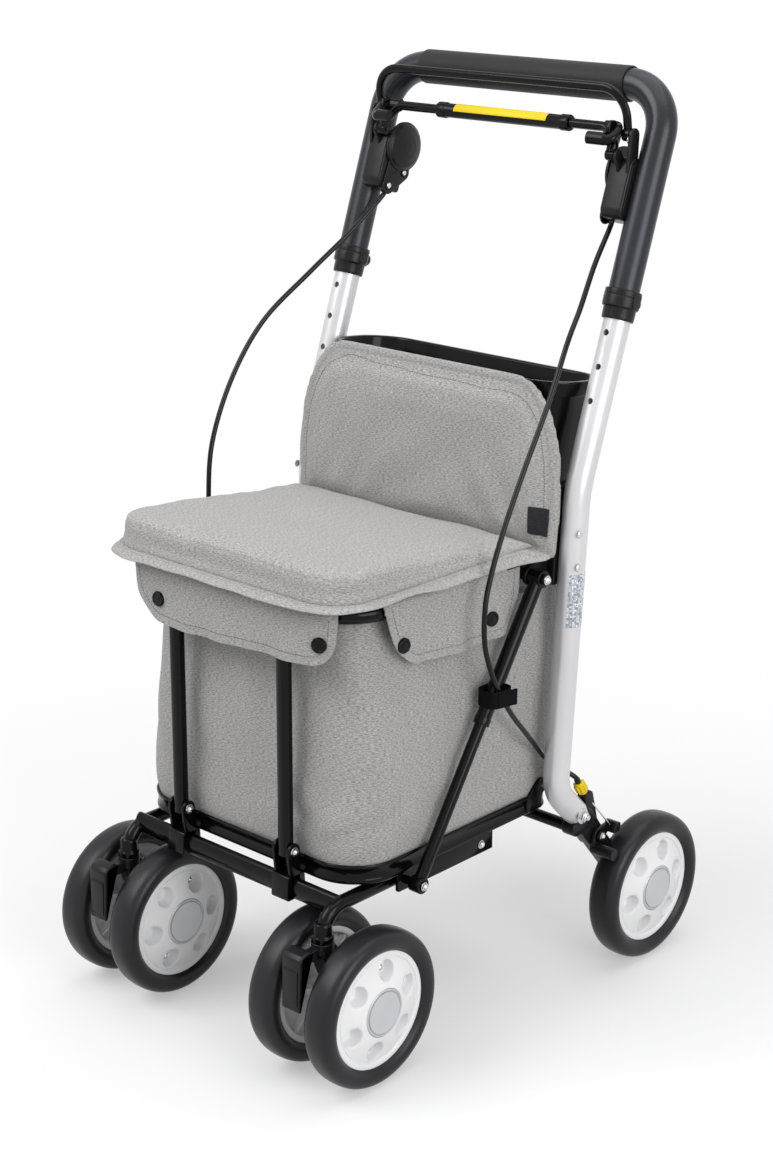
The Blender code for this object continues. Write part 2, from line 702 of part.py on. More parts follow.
def seat_bracket(side):
    """A plate on the upright's inner side, cupped round the tube, with the seat's pin and the brace's pin."""
    low, high = sorted((side * BRACKET_X[0], side * (BRACKET_X[0] + BRACKET_PLATE)))
    name = f"seat_bracket_{label(side)}"
    heel = (HIGH_BEND[0] - 0.005, BRACE_TOP[1] + 0.004)
    made = prism_x(name, strap_outline(BRACE_TOP, 0.009, heel, 0.014), low, high, "moulded")
    block_low, block_high = sorted((side * BRACKET_X[0], side * BRACKET_X[1]))
    half = UPRIGHT_D / 2
    low_z, high_z = SPINE_Z
    outline = [
        (backrest_rear(low_z) + GAP, low_z),
        (HIGH_BEND[0] - 0.0062 + half + 0.004, low_z),
        (HIGH_BEND[0] + half + 0.004, high_z),
        (backrest_rear(high_z) + GAP, high_z),
    ]
    add(made, prism_x("block", outline, block_low, block_high, "moulded"))
    clear = bore_radius(UPRIGHT_D / 2, GAP)
    cut(made, sweep("cutter", upright_path(side * UPRIGHT_X), X_DIR, clear, clear, None))
    inner = side * BRACKET_X[0]
    add(made, rod("seat_pin", yz(SEAT_PIVOT, side * (BRACKET_X[0] + 0.002)), yz(SEAT_PIVOT, inner - side * 0.0090), PIN_R, "moulded"))
    brace_out = side * (BRACE_X + BRACE_EYE_HALF + 0.002)
    add(made, rod("brace_pin", yz(BRACE_TOP, side * (BRACKET_X[0] + 0.002)), yz(BRACE_TOP, brace_out), PIN_R, "moulded"))
    head = side * (BRACE_X + BRACE_EYE_HALF + GAP)
    add(made, rod("head", yz(BRACE_TOP, head), yz(BRACE_TOP, head + side * 0.003), 0.0052, "moulded"))
    return smooth(made)


def rear_cross_tube():
    reach = UPRIGHT_X - FITTING_HALF - TUBE_SEAT - GAP
    start, end = yz(CROSS_TUBE_AT, -reach), yz(CROSS_TUBE_AT, reach)
    return smooth(rod("rear_cross_tube", start, end, CROSS_TUBE_R, "black", 12))


def back_cross_tube():
    reach = BRACKET_X[0] - GAP
    sides = 12
    under_basket = (BACK_TUBE_Y, BASKET_Z[0] - GAP - BACK_TUBE_R * math.cos(math.pi / sides))
    start, end = yz(under_basket, -reach), yz(under_basket, reach)
    return smooth(rod("back_cross_tube", start, end, BACK_TUBE_R, "black", sides))


def standing_panel(half_x, low, high, corner, steps):
    """Outline of the upright panel as (x, z): square at the foot, round at the top."""
    points = [(-half_x + 0.006, low), (half_x - 0.006, low), (half_x, low + 0.006)]
    for x, start in ((half_x - corner, 0), (-half_x + corner, 90)):
        for k in range(steps + 1):
            angle = math.radians(start + 90 * k / steps)
            points.append((x + corner * math.cos(angle), high - corner + corner * math.sin(angle)))
    points.append((-half_x, low + 0.006))
    return points


def backrest_rear(z):
    return BACK_FRONT + BACK_T + (z - BACK_LOW) * BACK_LEAN


def backrest():
    """A padded panel whose face is crowned between its hems."""
    middle = (BACK_LOW + BACK_HIGH) / 2
    outline = standing_panel(BACK_HALF_X, BACK_LOW, BACK_HIGH, BACK_CORNER, 5)
    rings = []
    layers = ((0.006, 0.0), (0.0, 0.003), (0.0, BACK_T - 0.005), (0.006, BACK_T - 0.0015), (0.030, BACK_T))
    for shrink, depth in layers:
        share_x = 1 - shrink / BACK_HALF_X
        share_z = 1 - shrink / (BACK_HIGH - BACK_LOW) * 2
        ring = []
        for x, z in outline:
            height = middle + (z - middle) * share_z
            ring.append((x * share_x, backrest_rear(height) - depth, height))
        rings.append(ring)
    return smooth(stack("backrest", rings, "fabric"), 60)


def basket():
    """An open bin behind the backrest: tapered walls, an outward lip, and a rim that falls to the rear."""
    low_half, high_half = BASKET_HALF_X
    front, low_rear, high_rear = BASKET_Y
    floor, rim_front, rim_rear = BASKET_Z

    def ring(half_x, y_rear, share, grow, raise_by=0.0):
        corner = BASKET_CORNER[0] + (BASKET_CORNER[1] - BASKET_CORNER[0]) * share
        points = rounded_rectangle(half_x + grow, front - min(grow, 0.0), y_rear + grow, corner + grow, 4)
        placed = []
        for x, y in points:
            top = rim_front + (rim_rear - rim_front) * (y - front) / (high_rear - front)
            placed.append((x, y, floor + (top - floor) * share + raise_by))
        return placed

    lip_share = 1 - BASKET_LIP_H / (rim_front - floor)
    lip_half = low_half + (high_half - BASKET_LIP - low_half) * lip_share
    lip_rear = low_rear + (high_rear - BASKET_LIP - low_rear) * lip_share
    top_half, top_rear = high_half - BASKET_LIP, high_rear - BASKET_LIP
    rings = [
        ring(low_half, low_rear, 0.0, 0.0),
        ring(lip_half, lip_rear, lip_share, 0.0),
        ring(lip_half, lip_rear, lip_share, BASKET_LIP),
        ring(top_half, top_rear, 1.0, BASKET_LIP),
        ring(top_half, top_rear, 1.0, -BASKET_WALL),
        ring(low_half, low_rear, 0.0, -BASKET_WALL, BASKET_WALL),
    ]
    return smooth(stack("basket", rings, "black"), 40)


# Handle

def handle_tube():
    """The U of the push handle, bored so that the uprights slide inside its legs."""
    foot = COLLAR_LOW + COLLAR_STEP + GAP
    corners = [
        on_leg(foot, 0, -UPRIGHT_X),
        on_leg(HANDLE_TOP, 0, -UPRIGHT_X),
        on_leg(HANDLE_TOP, 0, UPRIGHT_X),
        on_leg(foot, 0, UPRIGHT_X),
    ]
    path = rounded_path(corners, (HANDLE_BEND_R, HANDLE_BEND_R), 6)
    radius = HANDLE_D / 2
    bore = bore_radius(UPRIGHT_D / 2, GAP)
    made = sweep("handle_tube", path, FORWARD_DIR, radius, radius, "anthracite", bore=bore)
    for side in (RIGHT, LEFT):
        x = side * UPRIGHT_X
        start, end = on_leg(LOCK_AT, 0, x), on_leg(LOCK_AT, -2 * radius, x)
        cut(made, rod("cutter", start, end, bore_radius(BUTTON_R, GAP, 8), None, 8))
    return smooth(made)


def grip_sleeve():
    radius, bore = GRIP_D / 2, bore_radius(HANDLE_D / 2, GAP)
    profile = [
        (-GRIP_HALF, bore),
        (-GRIP_HALF, radius - 0.0006),
        (-GRIP_HALF + 0.0015, radius),
        (GRIP_HALF - 0.0015, radius),
        (GRIP_HALF, radius - 0.0006),
        (GRIP_HALF, bore),
    ]
    centre = on_leg(HANDLE_TOP, 0, 0)
    return smooth(turned("grip_sleeve", profile, centre, X_DIR, SIDES, "sleeve", turn=90 - math.degrees(LEAN)), 30)


def collar(side):
    """A stepped ring: its upper half holds the handle leg's end, its lower half guides the upright."""
    x = side * UPRIGHT_X
    guide = bore_radius(UPRIGHT_D / 2, GAP)
    seat = bore_radius(HANDLE_D / 2, GAP)
    step, top = COLLAR_STEP, COLLAR_STEP + COLLAR_RING
    profile = [
        (0.0, guide),
        (0.0, COLLAR_R - 0.0022),
        (step - 0.001, COLLAR_R - 0.0020),
        (step, COLLAR_R),
        (top - 0.001, COLLAR_R),
        (top, COLLAR_R - 0.001),
        (top, seat),
        (step, seat),
        (step, guide),
    ]
    made = turned(f"collar_{label(side)}", profile, on_leg(COLLAR_LOW, 0, x), LEG_DIR, SIDES, "moulded")
    start, end = on_leg(LOCK_AT, 0, x), on_leg(LOCK_AT, -2 * COLLAR_R, x)
    cut(made, rod("cutter", start, end, bore_radius(BUTTON_R, GAP, 8), None, 8))
    return smooth(made)


def height_button(side):
    """A plunger in the collar's rear, drawn at the end of its pull, with its pin just out of the upright's hole."""
    x = side * UPRIGHT_X
    pin = COLLAR_R - UPRIGHT_D / 2
    profile = [
        (0.0, 0.0),
        (0.0, BUTTON_R),
        (pin, BUTTON_R),
        (pin, BUTTON_KNOB_R),
        (pin + BUTTON_KNOB_H - 0.0015, BUTTON_KNOB_R),
        (pin + BUTTON_KNOB_H, BUTTON_KNOB_R - 0.0015),
        (pin + BUTTON_KNOB_H, 0.0),
    ]
    start = on_leg(LOCK_AT, -(COLLAR_R + GAP - pin), x)
    made = smooth(turned(f"height_button_{label(side)}", profile, start, -FORWARD_DIR, 10, "moulded"), 30)
    body(f"button_{label(side)}", start, "handle")
    carry(f"button_{label(side)}", made)


def housing_outline(low, high, rear, front):
    """A (along, forward) outline with a sloped top corner and a rounded lower front."""
    return [
        (low, rear), (low, front - 0.005), (low + 0.002, front - 0.001), (low + 0.006, front),
        (high - 0.004, front), (high, front - 0.004), (high, rear + 0.008), (high - 0.010, rear),
    ]


def leg_prism(name, outline, x_low, x_high, finish):
    """Extrudes a (along, forward) outline of the leaning leg along X."""
    placed = [on_leg(along, forward, 0) for along, forward in outline]
    return prism_x(name, [(p.y, p.z) for p in placed], x_low, x_high, finish)


def brake_housing(side):
    """The box on a leg's inner side, cut round the tube, with ears for the lever and the parking bar."""
    low, high = sorted((side * HOUSING_X[0], side * HOUSING_X[1]))
    name = f"brake_housing_{label(side)}"
    outline = housing_outline(HOUSING_LOW, HOUSING_HIGH, HOUSING_REAR, HOUSING_FRONT)
    made = leg_prism(name, outline, low, high, "moulded")
    base = (HOUSING_HIGH - 0.012, HOUSING_FRONT - 0.006)
    ear_low, ear_high = sorted((side * (LEVER_X + LEVER_R + 0.0006), side * (LEVER_X + LEVER_R + 0.0040)))
    outline = strap_outline(LEVER_PIVOT, 0.0065, base, 0.006)
    add(made, leg_prism("ear", outline, ear_low, ear_high, "moulded"))
    start = on_leg(*LEVER_PIVOT, side * (LEVER_X + LEVER_R + 0.002))
    end = on_leg(*LEVER_PIVOT, side * (LEVER_X - LEVER_R - 0.0015))
    add(made, rod("lever_pin", start, end, LEVER_PIN_R, "moulded"))
    ear_low, ear_high = sorted((side * (PARK_X + PARK_R + 0.0006), side * (PARK_X + PARK_R + 0.0036)))
    outline = strap_outline(PARK_PIVOT, 0.0060, (HOUSING_HIGH - 0.014, HOUSING_FRONT - 0.006), 0.006)
    add(made, leg_prism("ear", outline, ear_low, ear_high, "moulded"))
    start = on_leg(*PARK_PIVOT, side * (PARK_X + PARK_R + 0.002))
    end = on_leg(*PARK_PIVOT, side * (PARK_X - PARK_R - 0.0010))
    clear = bore_radius(HANDLE_D / 2, GAP)
    x = side * UPRIGHT_X
    cut(made, rod("cutter", on_leg(HOUSING_LOW - 0.01, 0, x), on_leg(HOUSING_HIGH + 0.03, 0, x), clear, None, SIDES))
    notch = leg_prism(
        "cutter",
        [
            (PARK_PIVOT[0] - 0.0085, PARK_PIVOT[1] - 0.0085), (PARK_PIVOT[0] - 0.0085, PARK_PIVOT[1] + 0.02),
            (PARK_PIVOT[0] + 0.02, PARK_PIVOT[1] + 0.02), (PARK_PIVOT[0] + 0.02, PARK_PIVOT[1] - 0.0085),
        ],
        *sorted((side * (HOUSING_X[0] - 0.001), side * (PARK_X + PARK_R + 0.0006))),
        None,
    )
    cut(made, notch)
    add(made, rod("park_pin", start, end, PARK_PIN_R, "moulded"))
    return smooth(made)


def cover_disc(side):
    """The mechanism's cover on the housing's inner face: a domed disc on a plate with three screw lobes."""
    inner = side * (HOUSING_X[0] - GAP)
    name = f"brake_cover_{label(side)}"
    outward = Vector((-side, 0.0, 0.0))
    centre = on_leg(*COVER_MID, inner)
    profile = [
        (0.0, 0.0),
        (0.0, COVER_R),
        (COVER_PLATE, COVER_R),
        (COVER_PLATE + COVER_DOME * 0.45, COVER_R * 0.82),
        (COVER_PLATE + COVER_DOME * 0.85, COVER_R * 0.45),
        (COVER_PLATE + COVER_DOME, 0.0),
    ]
    made = turned(name, profile, centre, outward, 16, "moulded")
    low, high = sorted((inner, inner - side * COVER_PLATE))
    (upper, rear, radius), (lower, front, wide) = COVER_LOBES
    add(made, leg_prism("lobe", strap_outline((upper, rear), radius, (lower, front), wide), low, high, "moulded"))
    for along, forward, lobe_r in COVER_LOBES:
        band = strap_outline((along, forward), lobe_r - 0.0003, COVER_MID, 0.0150)
        add(made, leg_prism("lobe", band, low, high, "moulded"))
    return smooth(made)


def mirrored_path(points):
    """Completes a path over the middle plane from its points on the left side."""
    right = [Vector((-p.x, p.y, p.z)) for p in reversed(points)]
    return list(points) + right


def brake_lever():
    """The bar under the grip that both hands squeeze, with an eye at each end."""
    corners = mirrored_path(
        [
            on_leg(*LEVER_PIVOT, -LEVER_X),
            on_leg(*LEVER_BAR, -LEVER_X),
        ]
    )
    path = rounded_path(corners, (LEVER_CORNER, LEVER_CORNER), 7)
    normal = (corners[1] - corners[0]).cross(X_DIR)
    made = sweep("brake_lever", path, normal, LEVER_R * 0.8, LEVER_R, "black", 8)
    hole = bore_radius(LEVER_PIN_R, RUN, SMALL_SIDES)
    for side in (RIGHT, LEFT):
        inner, outer = side * (LEVER_X - LEVER_R), side * (LEVER_X + LEVER_R)
        start, end = on_leg(*LEVER_PIVOT, inner), on_leg(*LEVER_PIVOT, outer)
        add(made, rod("eye", start, end, LEVER_EYE_R, "black", 12))
        start, end = on_leg(*LEVER_PIVOT, inner - side * 0.01), on_leg(*LEVER_PIVOT, outer + side * 0.01)
        cut(made, rod("cutter", start, end, hole, None))
    made = smooth(made)
    body("brake_lever", on_leg(*LEVER_PIVOT, 0), "handle")
    carry("brake_lever", made)


def park_bar():
    """The parking bar between the housings, with its fat middle sleeve and an eye at each end."""
    corners = mirrored_path(
        [
            on_leg(*PARK_PIVOT, -PARK_X),
            on_leg(PARK_PIVOT[0] + 0.010, PARK_PIVOT[1], -PARK_X),
            on_leg(*PARK_BAR, -PARK_BAR_X),
        ]
    )
    path = rounded_path(corners, (0.008, 0.012, 0.012, 0.008), 3)
    normal = (corners[1] - corners[0]).cross(X_DIR)
    made = sweep("park_bar", path, normal, PARK_R, PARK_R * 0.9, "black", 8)
    middle = on_leg(*PARK_BAR, PARK_SLEEVE_MID)
    half, radius = PARK_SLEEVE_HALF, PARK_SLEEVE_R
    profile = [
        (-half, 0.0), (-half, radius - 0.001), (-half + 0.001, radius),
        (half - 0.001, radius), (half, radius - 0.001), (half, 0.0),
    ]
    add(made, turned("sleeve", profile, middle, X_DIR, 12, "moulded"))
    hole = bore_radius(PARK_PIN_R, RUN, SMALL_SIDES)
    for side in (RIGHT, LEFT):
        inner, outer = side * (PARK_X - 0.0045), side * (PARK_X + PARK_R)
        add(made, rod("eye", on_leg(*PARK_PIVOT, inner), on_leg(*PARK_PIVOT, outer), PARK_EYE_R, "black", 12))
        start, end = on_leg(*PARK_PIVOT, inner - side * 0.01), on_leg(*PARK_PIVOT, outer + side * 0.01)
        cut(made, rod("cutter", start, end, hole, None))
    made = smooth(made)
    body("park_bar", on_leg(*PARK_PIVOT, 0), "handle")
    carry("park_bar", made)


# Seat, lid and bag

def seat_frame():
    """The bag's ring with lugs for the front bars, arms to the seat pins and leaves for the lid's hinge."""
    outline = rounded_rectangle(SEAT_HALF_X, SEAT_FRONT, SEAT_REAR, SEAT_CORNER, 4, SEAT_REAR_CORNER)
    ring = [(x, y, SEAT_Z) for x, y in outline]
    made = sweep("seat_frame", ring, (0, 0, 1), SEAT_TUBE_R, SEAT_TUBE_R, "black", 10, closed=True)
    for side in (RIGHT, LEFT):
        for offset in (-1, 1):
            ear_in = side * BAR_X + offset * (BAR_HALF_X + RUN)
            low, high = sorted((ear_in, ear_in + offset * EAR_T))
            outline = strap_outline(BAR_TOP_PIVOT, 0.0075, (SEAT_FRONT, SEAT_Z - 0.001), 0.0065)
            add(made, prism_x("ear", outline, low, high, "black"))
        reach = BAR_HALF_X + RUN + EAR_T
        start, end = yz(BAR_TOP_PIVOT, side * (BAR_X - reach)), yz(BAR_TOP_PIVOT, side * (BAR_X + reach))
        add(made, rod("pin", start, end, PIN_R, "black"))
        low, high = sorted((side * (BRACKET_X[0] - GAP), side * (SEAT_HALF_X + SEAT_TUBE_R - 0.0018)))
        outline = strap_outline(SEAT_PIVOT, 0.0085, (SEAT_REAR - 0.016, SEAT_Z), SEAT_TUBE_R - 0.001)
        add(made, prism_x("arm", outline, low, high, "black"))
        hole = bore_radius(PIN_R, RUN, SMALL_SIDES)
        cut(made, rod("cutter", yz(SEAT_PIVOT, low - 0.01), yz(SEAT_PIVOT, high + 0.01), hole, None))
    for x in HINGE_SPOTS:
        leaf = [
            (SEAT_REAR - 0.002, SEAT_Z + 0.002),
            (SEAT_REAR + 0.004, SEAT_Z + 0.002),
            (HINGE_AT[0] + 0.0012, HINGE_AT[1]),
            (HINGE_AT[0] - 0.0012, HINGE_AT[1]),
        ]
        add(made, prism_x("leaf", leaf, x + 0.0004, x + HINGE_KNUCKLE - 0.0004, "black"))
        add(made, rod("knuckle", yz(HINGE_AT, x), yz(HINGE_AT, x + HINGE_KNUCKLE), HINGE_R, "black", 8))
        add(made, rod("hinge_pin", yz(HINGE_AT, x + 0.010), yz(HINGE_AT, x + 0.036), 0.0010, "black", 6))
    made = smooth(made)
    body("seat", yz(SEAT_PIVOT, 0))
    carry("seat", made)


def seat_board():
    """The lid's stiff rim, with two knuckles on the hinge pins at its rear."""
    rings = []
    for inset, z in ((0.0012, LID_LOW), (0.0, LID_LOW + 0.0015), (0.0, LID_LOW + LID_BOARD - 0.0015), (0.0012, LID_LOW + LID_BOARD)):
        outline = rounded_rectangle(
            LID_HALF_X - inset, LID_FRONT + inset, LID_REAR - inset, LID_CORNER, 6, LID_REAR_CORNER
        )
        rings.append([(x, y, z) for x, y in outline])
    made = stack("seat_board", rings, "fabric")
    for x in HINGE_SPOTS:
        start = x + HINGE_KNUCKLE + 0.0005
        root = LID_REAR - 0.006
        leaf = [
            (root, LID_LOW + 0.001),
            (HINGE_AT[0], HINGE_AT[1] - 0.0016),
            (HINGE_AT[0], HINGE_AT[1] + 0.0016),
            (root, LID_LOW + LID_BOARD - 0.001),
        ]
        knuckle = rod("knuckle", yz(HINGE_AT, start), yz(HINGE_AT, start + 0.017), HINGE_R, "fabric", 8)
        add(knuckle, prism_x("leaf", leaf, start + 0.0004, start + 0.0166, "fabric"))
        cut(knuckle, rod("cutter", yz(HINGE_AT, start - 0.01), yz(HINGE_AT, start + 0.03), 0.0016, None, 8))
        add(made, knuckle)
    return smooth(made)


def seat_cushion():
    """A wedge pad, thick at the front and thin at the backrest, with drawn-in sides and a crowned top."""
    base = LID_LOW + LID_BOARD + GAP
    y_mid = (LID_FRONT + LID_REAR) / 2
    rings = []
    for inset, share in ((0.0025, 0.0), (0.0, 0.30), (0.0005, 0.70), (0.006, 0.97), (0.045, 1.0), (0.090, 1.0)):
        total = LID_INSET + inset
        outline = rounded_rectangle(
            LID_HALF_X - total, LID_FRONT + total, LID_REAR - 0.004 - inset,
            LID_CORNER * 0.9 if inset < 0.03 else 0.03, 6, LID_REAR_CORNER,
        )
        ring = []
        for x, y in outline:
            slope = (y - LID_FRONT) / (LID_REAR - LID_FRONT)
            edge = LID_HIGH_FRONT + (LID_HIGH_REAR - LID_HIGH_FRONT) * slope
            reach = max(0.0, 1 - (x / LID_HALF_X) ** 2) * max(0.0, 1 - ((y - y_mid) / (LID_REAR - y_mid)) ** 2)
            ring.append((x, y, base + (edge - base) * share + (LID_CROWN * reach if share > 0.9 else 0.0)))
        rings.append(ring)
    return smooth(stack("seat_cushion", rings, "fabric"), 60)


def bag():
    """An open-topped sack that hangs in the ring, stands in the tray and fills out towards its foot."""
    def ring(z, half_x, front, rear, inset):
        outline = rounded_rectangle(
            half_x - inset, front + inset, rear - inset, BAG_CORNER - inset, 4, BAG_REAR_CORNER - inset
        )
        pinch = min(1.0, BAG_REAR_HALF_X / half_x)
        start = rear - BAG_REAR_CORNER - 0.001
        return [(x * pinch if y > start else x, y, z) for x, y in outline]

    outer = [ring(*row, 0.0) for row in BAG_RINGS]
    inner = [ring(*row, BAG_WALL) for row in BAG_RINGS[:0:-1]]
    floor = ring(BAG_RINGS[0][0] + BAG_WALL, *BAG_RINGS[0][1:], BAG_WALL)
    return smooth(stack("bag", outer + inner + [floor], "fabric"), 60)


def flap_profile(inner, outer, top):
    """A strap's section across the ring tube: in over the tube, and down outside it to the lower hem."""
    return [(inner, top), (inner, top + FLAP_T), (outer, top + FLAP_T), (outer, FLAP_LOW), (outer - FLAP_T, FLAP_LOW), (outer - FLAP_T, top)]


def front_flap():
    top = SEAT_Z + SEAT_TUBE_R + GAP
    section = flap_profile(-(SEAT_FRONT + 0.004), -FRONT_FLAP_Y, top)
    half = FRONT_FLAP_X
    ends = []
    for x in (-half, -half + 0.018, half - 0.018, half):
        lift = 0.026 if abs(x) > half - 0.01 else 0.0
        ends.append([(x, -out, z + (lift if z < top - 0.01 else 0.0)) for out, z in section])
    return smooth(stack("front_flap", ends, "fabric"), 30)


def side_flap(side):
    top = SEAT_Z + SEAT_TUBE_R + GAP
    section = flap_profile(SEAT_HALF_X - 0.002, SIDE_FLAP_X + FLAP_T, top)
    front, rear = SIDE_FLAP_Y
    ends = []
    for y, lift in ((front, 0.026), (front + 0.020, 0.0), (rear - 0.020, 0.0), (rear, 0.026)):
        ends.append([(side * out, y, z + (lift if z < top - 0.01 else 0.0)) for out, z in section])
    return smooth(stack(f"side_flap_{label(side)}", ends, "fabric"), 30)


# Front bars and braces

def front_bar(side):
    """An upright oval bar with a cross hole at each end."""
    x = side * BAR_X
    end = 0.0085
    low, high = BAR_LOW_PIVOT[1] - end, BAR_TOP_PIVOT[1] + end
    rings = []
    for z, share in ((low, 0.55), (low + 0.003, 1.0), (high - 0.003, 1.0), (high, 0.55)):
        ring = []
        for k in range(12):
            angle = 2 * math.pi * (k + 0.5) / 12
            ring.append((x + BAR_HALF_X * share * math.cos(angle), BAR_Y + BAR_HALF_Y * share * math.sin(angle), z))
        rings.append(ring)
    made = stack(f"front_bar_{label(side)}", rings, "black")
    for pivot in (BAR_LOW_PIVOT, BAR_TOP_PIVOT):
        hole = bore_radius(PIN_R, RUN, 8)
        cut(made, rod("cutter", yz(pivot, x - 0.02), yz(pivot, x + 0.02), hole, None, 8))
    return smooth(made)


BRACE_DIR = (Vector((0.0, *BRACE_FOOT)) - Vector((0.0, *BRACE_TOP))).normalized()
BRACE_LEN = (Vector(BRACE_FOOT) - Vector(BRACE_TOP)).length


def on_brace(along, x):
    return yz(BRACE_TOP, x) + BRACE_DIR * along


def brace_tube(side):
    """The brace's outer tube: an eye on the bracket's pin and a bore for the rod."""
    x = side * BRACE_X
    name = f"brace_tube_{label(side)}"
    made = rod(name, on_brace(0, x), on_brace(BRACE_TUBE_LEN, x), BRACE_TUBE_R, "black", 12)
    half = BRACE_EYE_HALF
    add(made, rod("eye", yz(BRACE_TOP, x - half), yz(BRACE_TOP, x + half), BRACE_EYE_R, "black", 12))
    hole = bore_radius(PIN_R, RUN, SMALL_SIDES)
    cut(made, rod("cutter", yz(BRACE_TOP, x - 0.03), yz(BRACE_TOP, x + 0.03), hole, None))
    bore = bore_radius(BRACE_ROD_R, GAP, 12)
    cut(made, rod("cutter", on_brace(BRACE_ROD_START - 0.003, x), on_brace(BRACE_LEN, x), bore, None, 12))
    made = smooth(made)
    body(f"brace_{label(side)}", yz(BRACE_TOP, x))
    carry(f"brace_{label(side)}", made)


def brace_rod(side):
    x = side * BRACE_X
    made = rod(f"brace_rod_{label(side)}", on_brace(BRACE_ROD_START, x), on_brace(BRACE_LEN, x), BRACE_ROD_R, "black", 12)
    half = BRACE_FOOT_HALF
    add(made, rod("eye", yz(BRACE_FOOT, x - half), yz(BRACE_FOOT, x + half), BRACE_FOOT_R, "black", 12))
    add(made, rod("head", yz(BRACE_FOOT, x), yz(BRACE_FOOT, x + side * (half + 0.0035)), 0.0048, "black", 8))
    made = smooth(made)
    body(f"brace_rod_{label(side)}", on_brace(BRACE_TUBE_LEN, x), f"brace_{label(side)}")
    carry(f"brace_rod_{label(side)}", made)


def cable_strap():
    """A hook-and-loop band that holds the cable where it crosses the right brace."""
    middle = on_brace(STRAP_AT, 0)
    cable_out = BRACE_X + BRACE_TUBE_R + 2 * GAP + 2 * CABLE_R
    inner, outer = BRACE_X - BRACE_TUBE_R - GAP, cable_out + GAP
    lean = BRACE_DIR.y / BRACE_DIR.z
    half_y = BRACE_TUBE_R / abs(BRACE_DIR.z) + STRAP_W / 2 * abs(lean) + GAP

    def ring(z, grow):
        half_x = (outer - inner) / 2 + grow
        corner = 0.006 + grow
        outline = rounded_rectangle(half_x, -half_y - grow, half_y + grow, corner, 3)
        return [((outer + inner) / 2 + x, middle.y + y, z) for x, y in outline]

    low, high = middle.z - STRAP_W / 2, middle.z + STRAP_W / 2
    rings = [ring(low, 0.0), ring(low, STRAP_T), ring(high, STRAP_T), ring(high, 0.0)]
    return smooth(stack("cable_strap", rings, "moulded", close=True))


# Base

def base_tube_path(side):
    x = side * CASTER_X
    rear = Vector((x, RAIL_FRONT + 0.030, BASE_TUBE_Z))
    corner = Vector((x, CASTER_Y, BASE_TUBE_Z))
    low = Vector((x, CASTER_Y, CASTER_SLEEVE_LOW + 0.004))
    return rounded_path([rear, corner, low], (CASTER_BEND_R,), 5)


def fork_frame():
    """The welded front frame: two bent caster tubes, the oval cross bar, clevises, side rails and brace pins."""
    made = sweep("fork_frame", base_tube_path(RIGHT), X_DIR, CASTER_TUBE_R, CASTER_TUBE_R, "black", 12)
    reach = CASTER_X + 0.002
    bar = sweep(
        "bar", [(-reach, CROSS_Y, BASE_TUBE_Z), (reach, CROSS_Y, BASE_TUBE_Z)], (0, 1, 0), CROSS_HALF_Y, CROSS_HALF_Z * 0.96, "black", 12
    )
    add(made, bar)
    add(made, sweep("tube", base_tube_path(LEFT), X_DIR, CASTER_TUBE_R, CASTER_TUBE_R, "black", 12))
    for side in (RIGHT, LEFT):
        x = side * CASTER_X
        sleeve = [
            (0.0, 0.0),
            (0.0, CASTER_SLEEVE_R),
            (0.006, CASTER_SLEEVE_R),
            (0.0075, CASTER_SLEEVE_R - 0.0012),
            (CASTER_SLEEVE_H, CASTER_SLEEVE_R - 0.0012),
            (CASTER_SLEEVE_H, 0.0),
        ]
        add(made, turned("sleeve", sleeve, (x, CASTER_Y, CASTER_SLEEVE_LOW), (0, 0, 1), 12, "black"))
        bore = bore_radius(CASTER_STEM_R, RUN, SMALL_SIDES)
        bore_top = CASTER_SLEEVE_LOW + CASTER_STEM_H + 0.002
        cut(made, rod("cutter", (x, CASTER_Y, CASTER_SLEEVE_LOW - 0.01), (x, CASTER_Y, bore_top), bore, None))
        for offset in (-1, 1):
            ear_in = side * BAR_X + offset * (BAR_HALF_X + RUN)
            low, high = sorted((ear_in, ear_in + offset * EAR_T))
            outline = strap_outline(BAR_LOW_PIVOT, 0.0078, (CROSS_Y, BASE_TUBE_Z + 0.004), 0.0058)
            add(made, prism_x("ear", outline, low, high, "black"))
        reach = BAR_HALF_X + RUN + EAR_T + 0.0005
        start, end = yz(BAR_LOW_PIVOT, side * BAR_X - reach), yz(BAR_LOW_PIVOT, side * BAR_X + reach)
        add(made, rod("pin", start, end, PIN_R, "black"))
        half = BASE_RAIL_HALF
        top, low = TRAY_LOW - GAP, BASE_TUBE_Z - RAIL_DEEP
        rail = box("rail", (x - half, RAIL_FRONT, low), (x + half, RAIL_REAR, top), "black")
        cut(rail, box("cutter", (x - half + RAIL_WALL, RAIL_FRONT + 0.034, low - 0.01), (x + half - RAIL_WALL, RAIL_REAR + 0.01, top - RAIL_WALL), None))
        add(made, rail)
        start = yz(BRACE_FOOT, side * CASTER_X)
        end = yz(BRACE_FOOT, side * (BRACE_X - BRACE_FOOT_HALF - GAP))
        add(made, rod("brace_pin", start, end, PIN_R + 0.001, "black"))
    return smooth(made)


